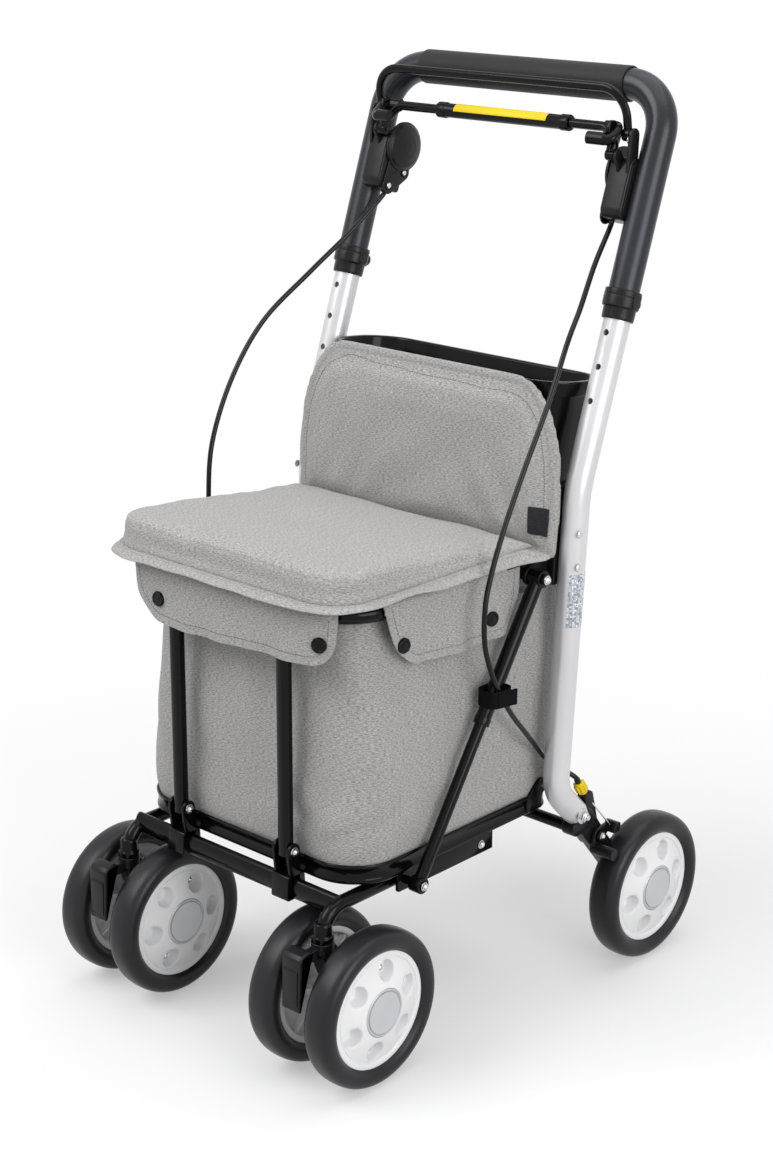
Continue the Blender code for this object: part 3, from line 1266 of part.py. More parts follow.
def tray():
    """A pressed tray with an upstanding band, and an ear on each side that swings on the upright's bolt."""
    def ring(inset, z):
        rear = TRAY_REAR_CORNER - inset
        outline = rounded_rectangle(
            TRAY_HALF_X - inset, TRAY_FRONT + inset, TRAY_REAR - inset, TRAY_CORNER - inset, 5, rear
        )
        return [(x, y, z) for x, y in outline]

    top = TRAY_LOW + TRAY_BAND
    rings = [
        ring(0.003, TRAY_LOW),
        ring(0.0, TRAY_LOW + 0.003),
        ring(0.0, top),
        ring(TRAY_WALL, top),
        ring(TRAY_WALL, TRAY_LOW + TRAY_WALL),
    ]
    made = stack("tray", rings, "black")
    for side in (RIGHT, LEFT):
        low, high = sorted((side * (TRAY_HALF_X + 0.0004), side * (TRAY_HALF_X - EAR_T)))
        foot = (BASE_PIVOT[0] - 0.012, TRAY_LOW + 0.010)
        add(made, prism_x("ear", strap_outline(BASE_PIVOT, 0.008, foot, 0.0095), low, high, "black"))
        hole = bore_radius(PIN_R, RUN, SMALL_SIDES)
        cut(made, rod("cutter", yz(BASE_PIVOT, low - 0.01), yz(BASE_PIVOT, high + 0.01), hole, None))
    return smooth(made)


# Casters

def caster_fork(side):
    """The swivelling part: a stem, a round head, a leg between the two wheels and the axle through it."""
    x = side * CASTER_X
    head_top = CASTER_SLEEVE_LOW - GAP
    profile = [
        (CASTER_STEM_H, 0.0),
        (CASTER_STEM_H, CASTER_STEM_R),
        (0.0, CASTER_STEM_R),
        (0.0, CASTER_SLEEVE_R),
        (-0.010, CASTER_SLEEVE_R),
        (-0.013, CASTER_SLEEVE_R - 0.003),
        (-0.013, 0.0),
    ]
    made = turned(f"caster_fork_{label(side)}", profile, (x, CASTER_Y, head_top), (0, 0, 1), 12, "moulded")
    half = FORK_T / 2
    axle = (FRONT_AXLE_Y, WHEEL_R)
    leg = strap_outline((CASTER_Y + 0.002, head_top - 0.0115), 0.0105, axle, 0.0115)
    add(made, prism_x("leg", leg, x - half, x + half, "moulded"))
    nose = strap_outline((CASTER_Y, head_top - 0.008), 0.006, LOCK_HINGE, 0.0045)
    add(made, prism_x("nose", nose, x - half * 0.5, x + half * 0.5, "moulded"))
    hub_in = TWIN_GAP / 2 - RIM_W / 2 - HUB_PROUD - GAP
    add(made, rod("boss", yz(axle, x - hub_in), yz(axle, x + hub_in), 0.0085, "moulded"))
    axle_end = TWIN_GAP / 2 + RIM_W / 2 + DISH - 0.006 - RUN
    add(made, rod("axle", yz(axle, x - axle_end), yz(axle, x + axle_end), AXLE_R, "moulded"))
    reach = half * 0.5 + 0.0065
    add(made, rod("lock_pin", yz(LOCK_HINGE, x - reach), yz(LOCK_HINGE, x + reach), 0.0018, "moulded", 8))
    made = smooth(made)
    body(f"caster_{label(side)}", (x, CASTER_Y, CASTER_SLEEVE_LOW), "base")
    carry(f"caster_{label(side)}", made)


def swivel_lock(side):
    """The flap in front of a caster: a plate between the wheels with two cheeks on the fork's nose."""
    x = side * CASTER_X
    y, z = LOCK_HINGE
    outline = [
        (y - 0.0095, z + 0.010), (y - 0.0010, z + 0.0125), (y + 0.0055, z + 0.0085),
        (y - 0.0080, z + 0.0060), (y - 0.0105, LOCK_LOW), (y - 0.0140, LOCK_LOW), (y - 0.0130, z + 0.006),
    ]
    made = prism_x(f"swivel_lock_{label(side)}", outline, x - LOCK_HALF, x + LOCK_HALF, "anthracite")
    inner = FORK_T / 4 + RUN
    hole = bore_radius(0.0018, RUN, 8)
    for offset in (-1, 1):
        low, high = sorted((x + offset * inner, x + offset * (inner + 0.004)))
        outline = strap_outline(LOCK_HINGE, 0.0045, (y - 0.0085, z - 0.002), 0.004)
        add(made, prism_x("cheek", outline, low, high, "anthracite"))
    cut(made, rod("cutter", yz(LOCK_HINGE, x - 0.02), yz(LOCK_HINGE, x + 0.02), hole, None, 8))
    clear = FORK_T / 4 + RUN
    nose = strap_outline(LOCK_HINGE, 0.0045 + 0.0010, (y + 0.02, z - 0.001), 0.0075)
    cut(made, prism_x("cutter", nose, x - clear, x + clear, None))
    made = smooth(made)
    body(f"swivel_lock_{label(side)}", yz(LOCK_HINGE, x), f"caster_{label(side)}")
    carry(f"swivel_lock_{label(side)}", made)


# Brake cables, by points chosen along their route: x from the upright's middle plane, y, z

RIGHT_CABLE = (
    (-0.0180, 0.1330, 0.7000),
    (-0.0100, 0.1030, 0.6650),
    (-0.0030, 0.0760, 0.6410),
    (-0.0010, 0.0440, 0.5920),
    (-0.0015, 0.0070, 0.5270),
    (-0.0020, -0.0190, 0.4760),
    (-0.0015, -0.0360, 0.4340),
    (0.0000, -0.0420, 0.4080),
    (0.0000, -0.0400, 0.3790),
    (-0.0005, -0.0280, 0.3480),
    (-0.0007, -0.0150, 0.3255),
    (-0.0040, -0.0020, 0.3060),
    (-0.0140, 0.0230, 0.2760),
    (-0.0220, 0.0560, 0.2440),
    (-0.0220, 0.0820, 0.2300),
    (-0.0120, 0.0960, 0.2200),
)
LEFT_CABLE = (
    (-0.0150, 0.1250, 0.6950),
    (0.0000, 0.0850, 0.6600),
    (0.0160, 0.0350, 0.6160),
    (0.0230, -0.0020, 0.5640),
    (0.0230, -0.0300, 0.5060),
    (0.0200, -0.0400, 0.4550),
    (0.0150, -0.0420, 0.4080),
    (0.0080, -0.0370, 0.3700),
    (0.0020, -0.0200, 0.3350),
    (-0.0060, 0.0000, 0.3060),
    (-0.0140, 0.0230, 0.2760),
    (-0.0220, 0.0560, 0.2440),
    (-0.0220, 0.0820, 0.2300),
    (-0.0120, 0.0960, 0.2200),
)


def smooth_curve(points, step):
    """Points at equal steps along a Catmull-Rom curve through all but the two end points, which set its ends' heading."""
    fine = []
    for a, b, c, d in zip(points, points[1:], points[2:], points[3:]):
        for k in range(12):
            t = k / 12
            fine.append(0.5 * (2 * b + (c - a) * t + (2 * a - 5 * b + 4 * c - d) * t * t + (3 * b - a - 3 * c + d) * t ** 3))
    fine.append(points[-2])
    length = sum((q - p).length for p, q in zip(fine, fine[1:]))
    count = max(2, round(length / step))
    spaced, travelled, target = [fine[0]], 0.0, length / count
    for p, q in zip(fine, fine[1:]):
        part = (q - p).length
        while part and travelled + part >= target - 1e-9 and len(spaced) < count:
            spaced.append(p.lerp(q, (target - travelled) / part))
            target += length / count
        travelled += part
    spaced.append(fine[-1])
    return spaced


def brake_cable(side):
    """The outer cable, from the housing's lower end to the adjuster at the wheel."""
    exit_at = on_leg(HOUSING_LOW - GAP, CABLE_EXIT[1], side * CABLE_EXIT[0])
    lead_out = exit_at - LEG_DIR * CABLE_LEAD
    adjuster = adjuster_end(1, side * UPRIGHT_X)
    back = (adjuster - adjuster_end(0, side * UPRIGHT_X)).normalized()
    end = adjuster + back * GAP
    lead_in = end + back * CABLE_LEAD
    rows = RIGHT_CABLE if side == RIGHT else LEFT_CABLE
    route = [Vector((side * (UPRIGHT_X + x), y, z)) for x, y, z in rows]
    points = smooth_curve([exit_at, lead_out] + route + [lead_in, end], CABLE_STEP)
    points = [exit_at] + points + [end]
    curve = bpy.data.curves.new(f"brake_cable_{label(side)}", "CURVE")
    curve.dimensions = "3D"
    curve.bevel_depth = CABLE_R
    curve.bevel_resolution = 1
    curve.use_fill_caps = True
    spline = curve.splines.new("POLY")
    spline.points.add(len(points) - 1)
    for place, point in zip(spline.points, points):
        place.co = (*point, 1.0)
    curve.materials.append(finish_of("cable"))
    obj = bpy.data.objects.new(f"brake_cable_{label(side)}", curve)
    bpy.context.scene.collection.objects.link(obj)
    return obj


def build_rear_frame():
    for side in (RIGHT, LEFT):
        upright(side)
        rear_fitting(side)
        cable_adjuster(side)
        seat_bracket(side)
        brake_cable(side)
        brake_arm(side)
        centre = (side * REAR_WHEEL_X, REAR_AXLE_Y, WHEEL_R)
        wheel("rear", label(side), centre, side, TURN_REAR, REAR_AXLE_Y)
    rear_cross_tube()
    back_cross_tube()
    backrest()
    basket()


def build_handle():
    body("handle", on_leg(COLLAR_LOW, 0, 0))
    carry("handle", handle_tube(), grip_sleeve())
    for side in (RIGHT, LEFT):
        carry("handle", collar(side), brake_housing(side), cover_disc(side))
        height_button(side)
    brake_lever()
    park_bar()


def build_seat():
    seat_frame()
    body("lid", yz(HINGE_AT, 0), "seat")
    carry("lid", seat_board(), seat_cushion())
    carry("seat", front_flap(), side_flap(RIGHT), side_flap(LEFT))
    body("front_bars", yz(BAR_TOP_PIVOT, 0), "seat")
    carry("front_bars", front_bar(RIGHT), front_bar(LEFT))


def build_base():
    body("base", yz(BASE_PIVOT, 0))
    carry("base", fork_frame(), tray(), bag())
    for side in (RIGHT, LEFT):
        caster_fork(side)
        swivel_lock(side)
        turn = TURN_FRONT_R if side == RIGHT else TURN_FRONT_L
        for outward, place in ((side, "out"), (-side, "in")):
            centre = (side * CASTER_X + outward * TWIN_GAP / 2, FRONT_AXLE_Y, WHEEL_R)
            wheel("front", f"{label(side)}_{place}", centre, outward, turn, FRONT_AXLE_Y)


def build_braces():
    for side in (RIGHT, LEFT):
        brace_tube(side)
        brace_rod(side)
    carry("brace_r", cable_strap())


def main():
    clear_scene()
    build_rear_frame()
    build_handle()
    build_seat()
    build_base()
    build_braces()


main()
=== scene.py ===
import math

import bmesh
import bpy
import numpy as np
from bpy.props import FloatProperty, FloatVectorProperty, PointerProperty
from mathutils import Matrix, Vector


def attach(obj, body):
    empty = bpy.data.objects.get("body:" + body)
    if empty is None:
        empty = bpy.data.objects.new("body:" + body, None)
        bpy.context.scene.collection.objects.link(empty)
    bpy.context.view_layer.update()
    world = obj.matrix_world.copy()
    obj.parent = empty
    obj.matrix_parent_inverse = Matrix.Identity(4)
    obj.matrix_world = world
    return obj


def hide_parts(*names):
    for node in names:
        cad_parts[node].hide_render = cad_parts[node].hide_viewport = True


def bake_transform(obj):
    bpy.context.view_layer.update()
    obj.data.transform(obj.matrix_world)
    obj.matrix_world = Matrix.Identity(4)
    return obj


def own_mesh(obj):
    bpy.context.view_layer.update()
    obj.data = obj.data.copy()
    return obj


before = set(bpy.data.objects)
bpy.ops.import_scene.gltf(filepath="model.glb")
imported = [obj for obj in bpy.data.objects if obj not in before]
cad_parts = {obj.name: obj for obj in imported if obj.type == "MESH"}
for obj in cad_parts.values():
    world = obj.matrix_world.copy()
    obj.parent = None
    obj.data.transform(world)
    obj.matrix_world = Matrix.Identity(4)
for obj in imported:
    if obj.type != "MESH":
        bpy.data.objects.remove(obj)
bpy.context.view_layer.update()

bl_info = {
    "name": "Shopping rollator",
    "version": (1, 0, 0),
    "blender": (4, 5, 0),
    "location": "3D View > Sidebar > Rollator",
    "description": "Builds the fabric, tubes, wheels and fittings of a folding shopping rollator",
    "category": "Object",
}

# Lengths are in metres, where the frame has them: X to the right seen from the front, Y to the rear, Z up.
# The tables that go through mm, turned and cut are in millimetres.
ACROSS, UP = np.array((1.0, 0.0, 0.0)), np.array((0.0, 0.0, 1.0))
SIDES = (("r", 1), ("l", -1))
LEAN = math.radians(18.8)
LEG_UP = np.array((0.0, math.sin(LEAN), math.cos(LEAN)))
LEG_FORWARD = np.array((0.0, -math.cos(LEAN), math.sin(LEAN)))
UPRIGHT_X, REAR_WHEEL_X, CASTER_X, BRACE_X, BAR_X = 0.17, 0.195, 0.13, 0.159, 0.0695
TWIN_GAP = 0.07
CASTER_Y, BAR_Y = -0.21, -0.195
RING_Z = 0.432

# Places in the side view: (y, z)
REAR_AXLE, FRONT_AXLE = (0.185, 0.075), (-0.185, 0.075)
SEAT_PIVOT, BASE_PIVOT = (0.074, 0.42), (0.074, 0.203)
BRACE_TOP, BRACE_FOOT = (0.047, 0.4225), (-0.1155, 0.169)
BAR_TOP, BAR_FOOT = (BAR_Y, 0.42), (BAR_Y, 0.203)
FOOT_ROOT, FOOT_BEND, LEG_BEND = (0.1003, 0.1732), (0.0685, 0.205), (0.088, 0.5)
BRAKE_POST, LOW_CROSS, ADJUSTER_SEAT = (0.126, 0.143), (0.097, 0.158), (0.1165, 0.185)
LOCK_PIVOT, HINGE = (-0.2375, 0.129), (0.0512, 0.4486)
HINGE_STARTS = (-0.09, 0.07)

# Places on the leaning leg: along it from its bend, and how far in front of it
LOCK_AT, GRIP_AT = 0.178, 0.375
LEVER_EYE, PARK_EYE, PARK_BAR, DISC_MIDDLE = (0.324, 0.0235), (0.304, 0.0265), (0.329, 0.025), (0.2935, -0.0025)


# Shapes: arrays of points, worked out whole

def unit(a):
    """Vectors divided by their lengths."""
    a = np.asarray(a, float)
    return a / np.linalg.norm(a, axis=-1, keepdims=True)


def mm(rows):
    """A table in millimetres as an array in metres."""
    return np.array(rows, float) / 1000


def on_leg(along, forward, x):
    """The bend's point, plus along times the leg's direction and forward times the direction to its front."""
    return yz(LEG_BEND, x) + along * LEG_UP + forward * LEG_FORWARD


def yz(pair, x):
    """The point at this x of a place in the side view."""
    return np.array((x, pair[0], pair[1]))


def rounded_path(corners, radii, steps=12):
    """Corners joined by straight lines, each inner corner an arc: the blend of its two end spokes by sines."""
    corners = np.asarray(corners, float)
    parts = [corners[:1]]
    for before, corner, after, radius in zip(corners, corners[1:], corners[2:], radii):
        a, b = unit(before - corner), unit(after - corner)
        half = math.acos(float(np.clip(a @ b, -1, 1))) / 2
        centre = corner + unit(a + b) * radius / math.sin(half)
        reach = radius / math.tan(half)
        start, end = corner + a * reach - centre, corner + b * reach - centre
        turn = math.pi - 2 * half
        t = np.linspace(0, 1, steps + 1)[:, None]
        parts.append(centre + (np.sin((1 - t) * turn) * start + np.sin(t * turn) * end) / math.sin(turn))
    parts.append(corners[-1:])
    return np.concatenate(parts)


def travelled(path):
    """How far along a polyline each of its points lies: the running sum of its steps' lengths."""
    return np.concatenate([[0], np.cumsum(np.linalg.norm(np.diff(path, axis=0), axis=1))])


def read_off(stops, places, rows):
    """Rows that are given at some places, read off at the stops between them, column by column."""
    return np.stack([np.interp(stops, places, column) for column in rows.T], -1)


def all_round(count):
    """So many even angles, all the way round."""
    return 2 * math.pi * np.arange(count) / count


def resample(path, step):
    """Points at equal steps along a polyline: each coordinate read off against the length travelled."""
    path = np.asarray(path, float)
    along = travelled(path)
    return read_off(np.linspace(0, along[-1], max(2, int(round(along[-1] / step)) + 1)), along, path)


def spline(points, step):
    """A Catmull-Rom curve through all the points, read off at equal steps."""
    p = np.asarray(points, float)
    p = np.concatenate([2 * p[:1] - p[1:2], p, 2 * p[-1:] - p[-2:-1]])
    t = np.linspace(0, 1, 13)[:-1, None, None]
    a, b, c, d = p[:-3], p[1:-2], p[2:-1], p[3:]
    fine = 0.5 * (2 * b + (c - a) * t + (2 * a - 5 * b + 4 * c - d) * t**2 + (3 * b - a - 3 * c + d) * t**3)
    fine = np.concatenate([fine.transpose(1, 0, 2).reshape(-1, p.shape[1]), p[-2:-1]])
    return resample(fine, step)


def box_outline(half_x, front, rear, radius, steps=10, rear_radius=None):
    """A rectangle whose corners are quarter circles, anticlockwise from the front right."""
    back = radius if rear_radius is None else rear_radius
    angle = np.radians(np.linspace(0, 90, steps + 1))
    parts = []
    for x, y, corner, start in (
        (half_x - radius, front + radius, radius, -90),
        (half_x - back, rear - back, back, 0),
        (-half_x + back, rear - back, back, 90),
        (-half_x + radius, front + radius, radius, 180),
    ):
        turn = angle + math.radians(start)
        parts.append(np.stack([x + corner * np.cos(turn), y + corner * np.sin(turn)], 1))
    return np.concatenate(parts)


def strap_outline(a, radius_a, b, radius_b, steps=12):
    """Two discs and the band between them: each disc's arc as far as the tangents that join them."""
    a, b = np.asarray(a, float), np.asarray(b, float)
    along = b - a
    heading = math.atan2(along[1], along[0])
    spread = math.acos((radius_a - radius_b) / float(np.linalg.norm(along)))
    end = np.linspace(heading - spread, heading + spread, steps + 1)
    start = np.linspace(heading + spread, heading + 2 * math.pi - spread, steps + 1)
    return np.concatenate([
        b + radius_b * np.stack([np.cos(end), np.sin(end)], 1),
        a + radius_a * np.stack([np.cos(start), np.sin(start)], 1),
    ])


def soft_corners(outline, radius, steps=5):
    """Each corner of a polygon turned into a short curve: the quadratic blend of a point before, it and one after."""
    p = np.asarray(outline, float)
    ends = []
    for way in (1, -1):
        beside = np.roll(p, way, 0) - p
        length = np.linalg.norm(beside, axis=1, keepdims=True)
        ends.append((p + beside / length * np.minimum(radius, length * 0.45))[:, None])
    t = np.linspace(0, 1, steps + 1)[None, :, None]
    return ((1 - t) ** 2 * ends[0] + 2 * t * (1 - t) * p[:, None] + t**2 * ends[1]).reshape(-1, 2)


def cut(rows, radius, steps=5):
    """A plate's outline in millimetres, its corners softened."""
    return soft_corners(mm(rows), radius / 1000, steps)


def offset(outline, distance):
    """A closed outline moved outwards along the mean of its neighbours' normals."""
    p = np.asarray(outline, float)
    heading = np.roll(p, -1, 0) - np.roll(p, 1, 0)
    normal = unit(np.stack([heading[:, 1], -heading[:, 0]], 1))
    area = np.sum(p[:, 0] * np.roll(p[:, 1], -1) - np.roll(p[:, 0], -1) * p[:, 1])
    return p + normal * (distance if area > 0 else -distance)


def tube_grid(path, normal, half_normal, half_out, sides, closed=False):
    """An oval carried along a flat path: point + normal a cos w + out b sin w, where out is square to both."""
    path = np.asarray(path, float)
    heading = np.roll(path, -1, 0) - np.roll(path, 1, 0) if closed else np.gradient(path, axis=0)
    normal = unit(normal)
    out = unit(np.cross(unit(heading), normal))
    w = all_round(sides)[:, None]
    return path[:, None] + normal * half_normal * np.cos(w) + out[:, None] * half_out * np.sin(w)


def free_tube_grid(path, radius, sides):
    """A round tube along any path: the frame at each point is the first frame with the heading's turns taken out."""
    path = np.asarray(path, float)
    heading = unit(np.gradient(path, axis=0))
    side = np.cross(heading[0], UP if abs(heading[0] @ UP) < 0.9 else ACROSS)
    sides_of = [unit(side)]
    for h in heading[1:]:
        sides_of.append(unit(sides_of[-1] - h * (h @ sides_of[-1])))
    side = np.array(sides_of)
    other = np.cross(heading, side)
    w = all_round(sides)[:, None]
    return path[:, None] + radius * (side[:, None] * np.cos(w) + other[:, None] * np.sin(w))


def lathe_grid(profile, centre, axis, segments, turn=0.0):
    """A profile of (along, radius) turned about an axis through the centre."""
    profile = np.asarray(profile, float)
    axis = unit(axis)
    u = np.array((0.0, 1.0, 0.0)) if abs(axis[1]) < 0.9 else UP
    u = unit(u - axis * (axis @ u))
    v = np.cross(axis, u)
    w = math.radians(turn) + all_round(segments)
    spokes = u * np.cos(w)[:, None] + v * np.sin(w)[:, None]
    return np.asarray(centre, float) + profile[:, :1, None] * axis + profile[:, 1:, None] * spokes[None]


def rounded_profile(points, radius, steps=4):
    """A profile's inner corners as short quadratic curves."""
    p = np.asarray(points, float)
    parts = [p[:1]]
    t = np.linspace(0, 1, steps + 1)[:, None]
    for before, corner, after in zip(p, p[1:], p[2:]):
        reach = min(radius, np.linalg.norm(before - corner) * 0.45, np.linalg.norm(after - corner) * 0.45)
        start, end = corner + unit(before - corner) * reach, corner + unit(after - corner) * reach
        parts.append((1 - t) ** 2 * start + 2 * t * (1 - t) * corner + t**2 * end)
    return np.concatenate([*parts, p[-1:]])


def turned(rows, radius, steps=4):
    """A turned part's (along, radius) profile in millimetres, its corners rounded."""
    return rounded_profile(mm(rows), radius / 1000, steps)


def washer(radius, thick, edge, steps=4):
    """A disc's profile, from its middle out, up and back in."""
    return rounded_profile([(0, 0), (0, radius), (thick, radius), (thick, 0)], edge, steps)


def dome_profile(height, radius):
    """A quarter ellipse from the rim to the pole."""
    w = np.linspace(0, math.pi / 2, 7)
    return np.stack([height * np.sin(w), radius * np.cos(w)], 1)


def sag(points, waves):
    """The sum of sines of the distance along each wave's direction, each faded by a bell about its place."""
    total = np.zeros(points.shape[:-1])
    for direction, length, phase, height, place, spread in waves:
        wave = np.sin((points @ np.asarray(direction, float)) * (2 * math.pi / length) + phase)
        away = np.sum((points - np.asarray(place, float)) ** 2, -1)
        total = total + height * wave * np.exp(-away / spread**2)
    return total


def hills(points, seed, length, height):
    """Gentle unevenness: twelve sines whose directions, lengths and phases come from a seeded draw."""
    draw = np.random.default_rng(seed)
    total = np.zeros(points.shape[:-1])
    for _ in range(12):
        direction = unit(draw.normal(size=3))
        pace = 2 * math.pi / (length * draw.uniform(0.7, 1.6))
        total = total + np.sin(points @ direction * pace + draw.uniform(0, 6.28))
    return total * (height / 3.5)


def ease(low, high, x):
    """0 below low, 1 above high, and the smooth cubic between."""
    t = np.clip((x - low) / (high - low), 0, 1)
    return t * t * (3 - 2 * t)


def plane_yz(first, second, depth):
    """Points of an outline in the side view, at x = depth."""
    return np.stack([np.full_like(first, depth), first, second], -1)


def plane_leg(along, forward, depth):
    """Points given along the leaning leg and in front of it, at x = depth."""
    return yz(LEG_BEND, depth) + along[:, None] * LEG_UP + forward[:, None] * LEG_FORWARD


class Form:
    """Points, faces and material numbers gathered from grids, for one piece."""

    def __init__(self):
        self.points, self.faces, self.marks, self.count = [], [], [], 0

    def grid(self, points, closed=False, caps=(False, False), mark=0, ring=False):
        """Faces between neighbours of an n by m array; closed joins its last column to its first, ring its rows."""
        n, m = points.shape[:2]
        i, j = np.meshgrid(np.arange(n if ring else n - 1), np.arange(m if closed else m - 1), indexing="ij")
        k, l = (j + 1) % m, (i + 1) % n
        quads = np.stack([i * m + j, i * m + k, l * m + k, l * m + j], -1).reshape(-1, 4) + self.count
        self.faces += quads.tolist()
        self.marks += [mark] * len(quads)
        for wanted, row in zip(caps, (0, n - 1)):
            if wanted:
                self.faces.append(list(range(self.count + row * m, self.count + (row + 1) * m)))
                self.marks.append(mark)
        self.points.append(points.reshape(-1, 3))
        self.count += n * m
        return self

    def tube(self, path, normal, half_normal, half_out, sides, closed=False, mark=0):
        """An oval tube along a flat path, with flat ends unless the path is closed."""
        points = tube_grid(path, normal, half_normal, half_out, sides, closed)
        return self.grid(points, True, (not closed, not closed), mark, ring=closed)

    def hose(self, path, radius, sides):
        """A round tube along any path, with flat ends."""
        return self.grid(free_tube_grid(path, radius, sides), True, (True, True))

    def rod(self, start, end, radius, sides=24, mark=0, edge=0.0006):
        """A straight rod with its two ends' edges rounded."""
        start, end = np.asarray(start, float), np.asarray(end, float)
        length = float(np.linalg.norm(end - start))
        profile = washer(radius, length, min(edge, length * 0.3, radius * 0.4))
        return self.lathe(profile, start, end - start, sides, mark)

    def pin(self, place, x_start, x_end, radius, sides=24, mark=0, edge=0.0006):
        """A rod straight across, at a place in the side view."""
        return self.rod(yz(place, x_start), yz(place, x_end), radius, sides, mark, edge)

    def eye(self, place, x_start, x_end, radius):
        """A rod straight across, at a place on the leg."""
        return self.rod(on_leg(*place, x_start), on_leg(*place, x_end), radius, 28)

    def lathe(self, profile, centre, axis, segments=32, mark=0):
        """A profile of (along, radius) turned about its axis."""
        return self.grid(lathe_grid(profile, centre, axis, segments), True, mark=mark)

    def strap(self, a, radius_a, b, radius_b, place, low, high, bevel, steps=12):
        """A plate whose outline is two discs and the band between them."""
        return self.plate(strap_outline(a, radius_a, b, radius_b, steps), place, low, high, bevel)

    def plate(self, outline, place, low, high, bevel, mark=0):
        """An outline with a rounded edge, set by place(first, second, depth) between two depths."""
        outline = np.asarray(outline, float)
        low, high = min(low, high), max(low, high)
        bevel = min(bevel, (high - low) * 0.4)
        w = np.linspace(0, math.pi / 2, 4)
        inset, rise = bevel * (1 - np.sin(w)), bevel * (1 - np.cos(w))
        insets, depths = np.concatenate([inset, inset[::-1]]), np.concatenate([low + rise, (high - rise)[::-1]])
        rings = np.stack([place(*offset(outline, -inset).T, depth) for inset, depth in zip(insets, depths)])
        return self.grid(rings, True, (True, True), mark)

    def ball(self, centre, axis, radius, height, segments=20):
        """A domed head that sits on its centre."""
        return self.lathe(np.concatenate([[(0, 0)], dome_profile(height, radius)]), centre, axis, segments)

    def nut(self, centre, axis, across, thick, turn):
        """A hexagon with chamfered corners."""
        corner = across / math.sqrt(3)
        profile = [(0, 0), (0, corner), (thick * 0.8, corner), (thick, corner * 0.88), (thick, 0)]
        return self.grid(lathe_grid(profile, centre, axis, 6, turn), True)

    def bolt(self, at, axis, radius, height):
        """A washer, a hexagon and a dome, stacked along the bolt's axis."""
        at, axis = np.asarray(at, float), unit(axis)
        self.lathe(washer(radius * 1.15, 0.0006, 0.0002, 2), at, axis, 24)
        self.nut(at + axis * 0.0006, axis, radius * 1.75, height * 0.55, 10)
        return self.ball(at + axis * (0.0006 + height * 0.5), axis, radius * 0.74, height * 0.6)

    def mesh(self, name, merge=2e-6):
        """The gathered shape as a mesh: doubles merged, faces turned outwards."""
        mesh = bpy.data.meshes.new(name)
        mesh.from_pydata(np.concatenate(self.points).tolist(), [], self.faces)
        mesh.polygons.foreach_set("material_index", np.asarray(self.marks, np.int32))
        build = bmesh.new()
        build.from_mesh(mesh)
        if merge:
            bmesh.ops.remove_doubles(build, verts=build.verts, dist=merge)
        bmesh.ops.recalc_face_normals(build, faces=build.faces)
        build.to_mesh(mesh)
        build.free()
        return mesh

    def make(self, name, body, materials, replaces=(), sharp=35.0, merge=2e-6):
        """An object of the gathered shape that rides on a body, with its finishes and their slot."""
        return dress(placed(name, self.mesh(name, merge)), body, materials, replaces, sharp)


def placed(name, data):
    """A new object of this data, in the scene."""
    obj = bpy.data.objects.new(name, data)
    bpy.context.scene.collection.objects.link(obj)
    return obj


def applied(obj):
    """An object with its modifiers worked into its mesh."""
    graph = bpy.context.evaluated_depsgraph_get()
    graph.update()
    mesh = bpy.data.meshes.new_from_object(obj.evaluated_get(graph))
    obj.modifiers.clear()
    obj.data = mesh
    return obj


def shade(obj, sharp):
    """Smooth faces, with sharp edges where two of them turn by more than so many degrees."""
    obj.data.shade_smooth()
    obj.data.set_sharp_from_angle(angle=math.radians(sharp))
    return obj


def coordinates(mesh):
    """A mesh's points as rows of x, y and z."""
    points = np.empty(len(mesh.vertices) * 3, np.float32)
    mesh.vertices.foreach_get("co", points)
    return points.reshape(-1, 3).astype(float)


def set_coordinates(mesh, points):
    """Puts rows of x, y and z back as a mesh's points."""
    mesh.vertices.foreach_set("co", points.astype(np.float32).ravel())
    mesh.update()


def dress(obj, body, materials, replaces=(), sharp=35.0):
    """Gives an object its finishes, its weave map where it is cloth, its body and the CAD nodes it stands for."""
    materials = [materials] if isinstance(materials, str) else materials
    obj.data.materials.clear()
    for name in materials:
        obj.data.materials.append(finish(name))
    shade(obj, sharp)
    if any(name in CLOTHS for name in materials):
        cloth_map(obj)
    if body:
        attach(obj, body)
    if replaces:
        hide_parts(*([replaces] if isinstance(replaces, str) else replaces))
    return obj


def cut_holes(obj, holes):
    """Cuts round holes, each from a start to an end with its radius, by an exact boolean, and keeps the result."""
    form = Form()
    for start, end, radius in holes:
        form.rod(start, end, radius, 20, edge=0.0)
    cutter = placed("cutter", form.mesh("cutter"))
    change = obj.modifiers.new("holes", "BOOLEAN")
    change.operation, change.solver, change.object = "DIFFERENCE", "EXACT", cutter
    applied(obj)
    bpy.data.objects.remove(cutter)
    return shade(obj, 35)


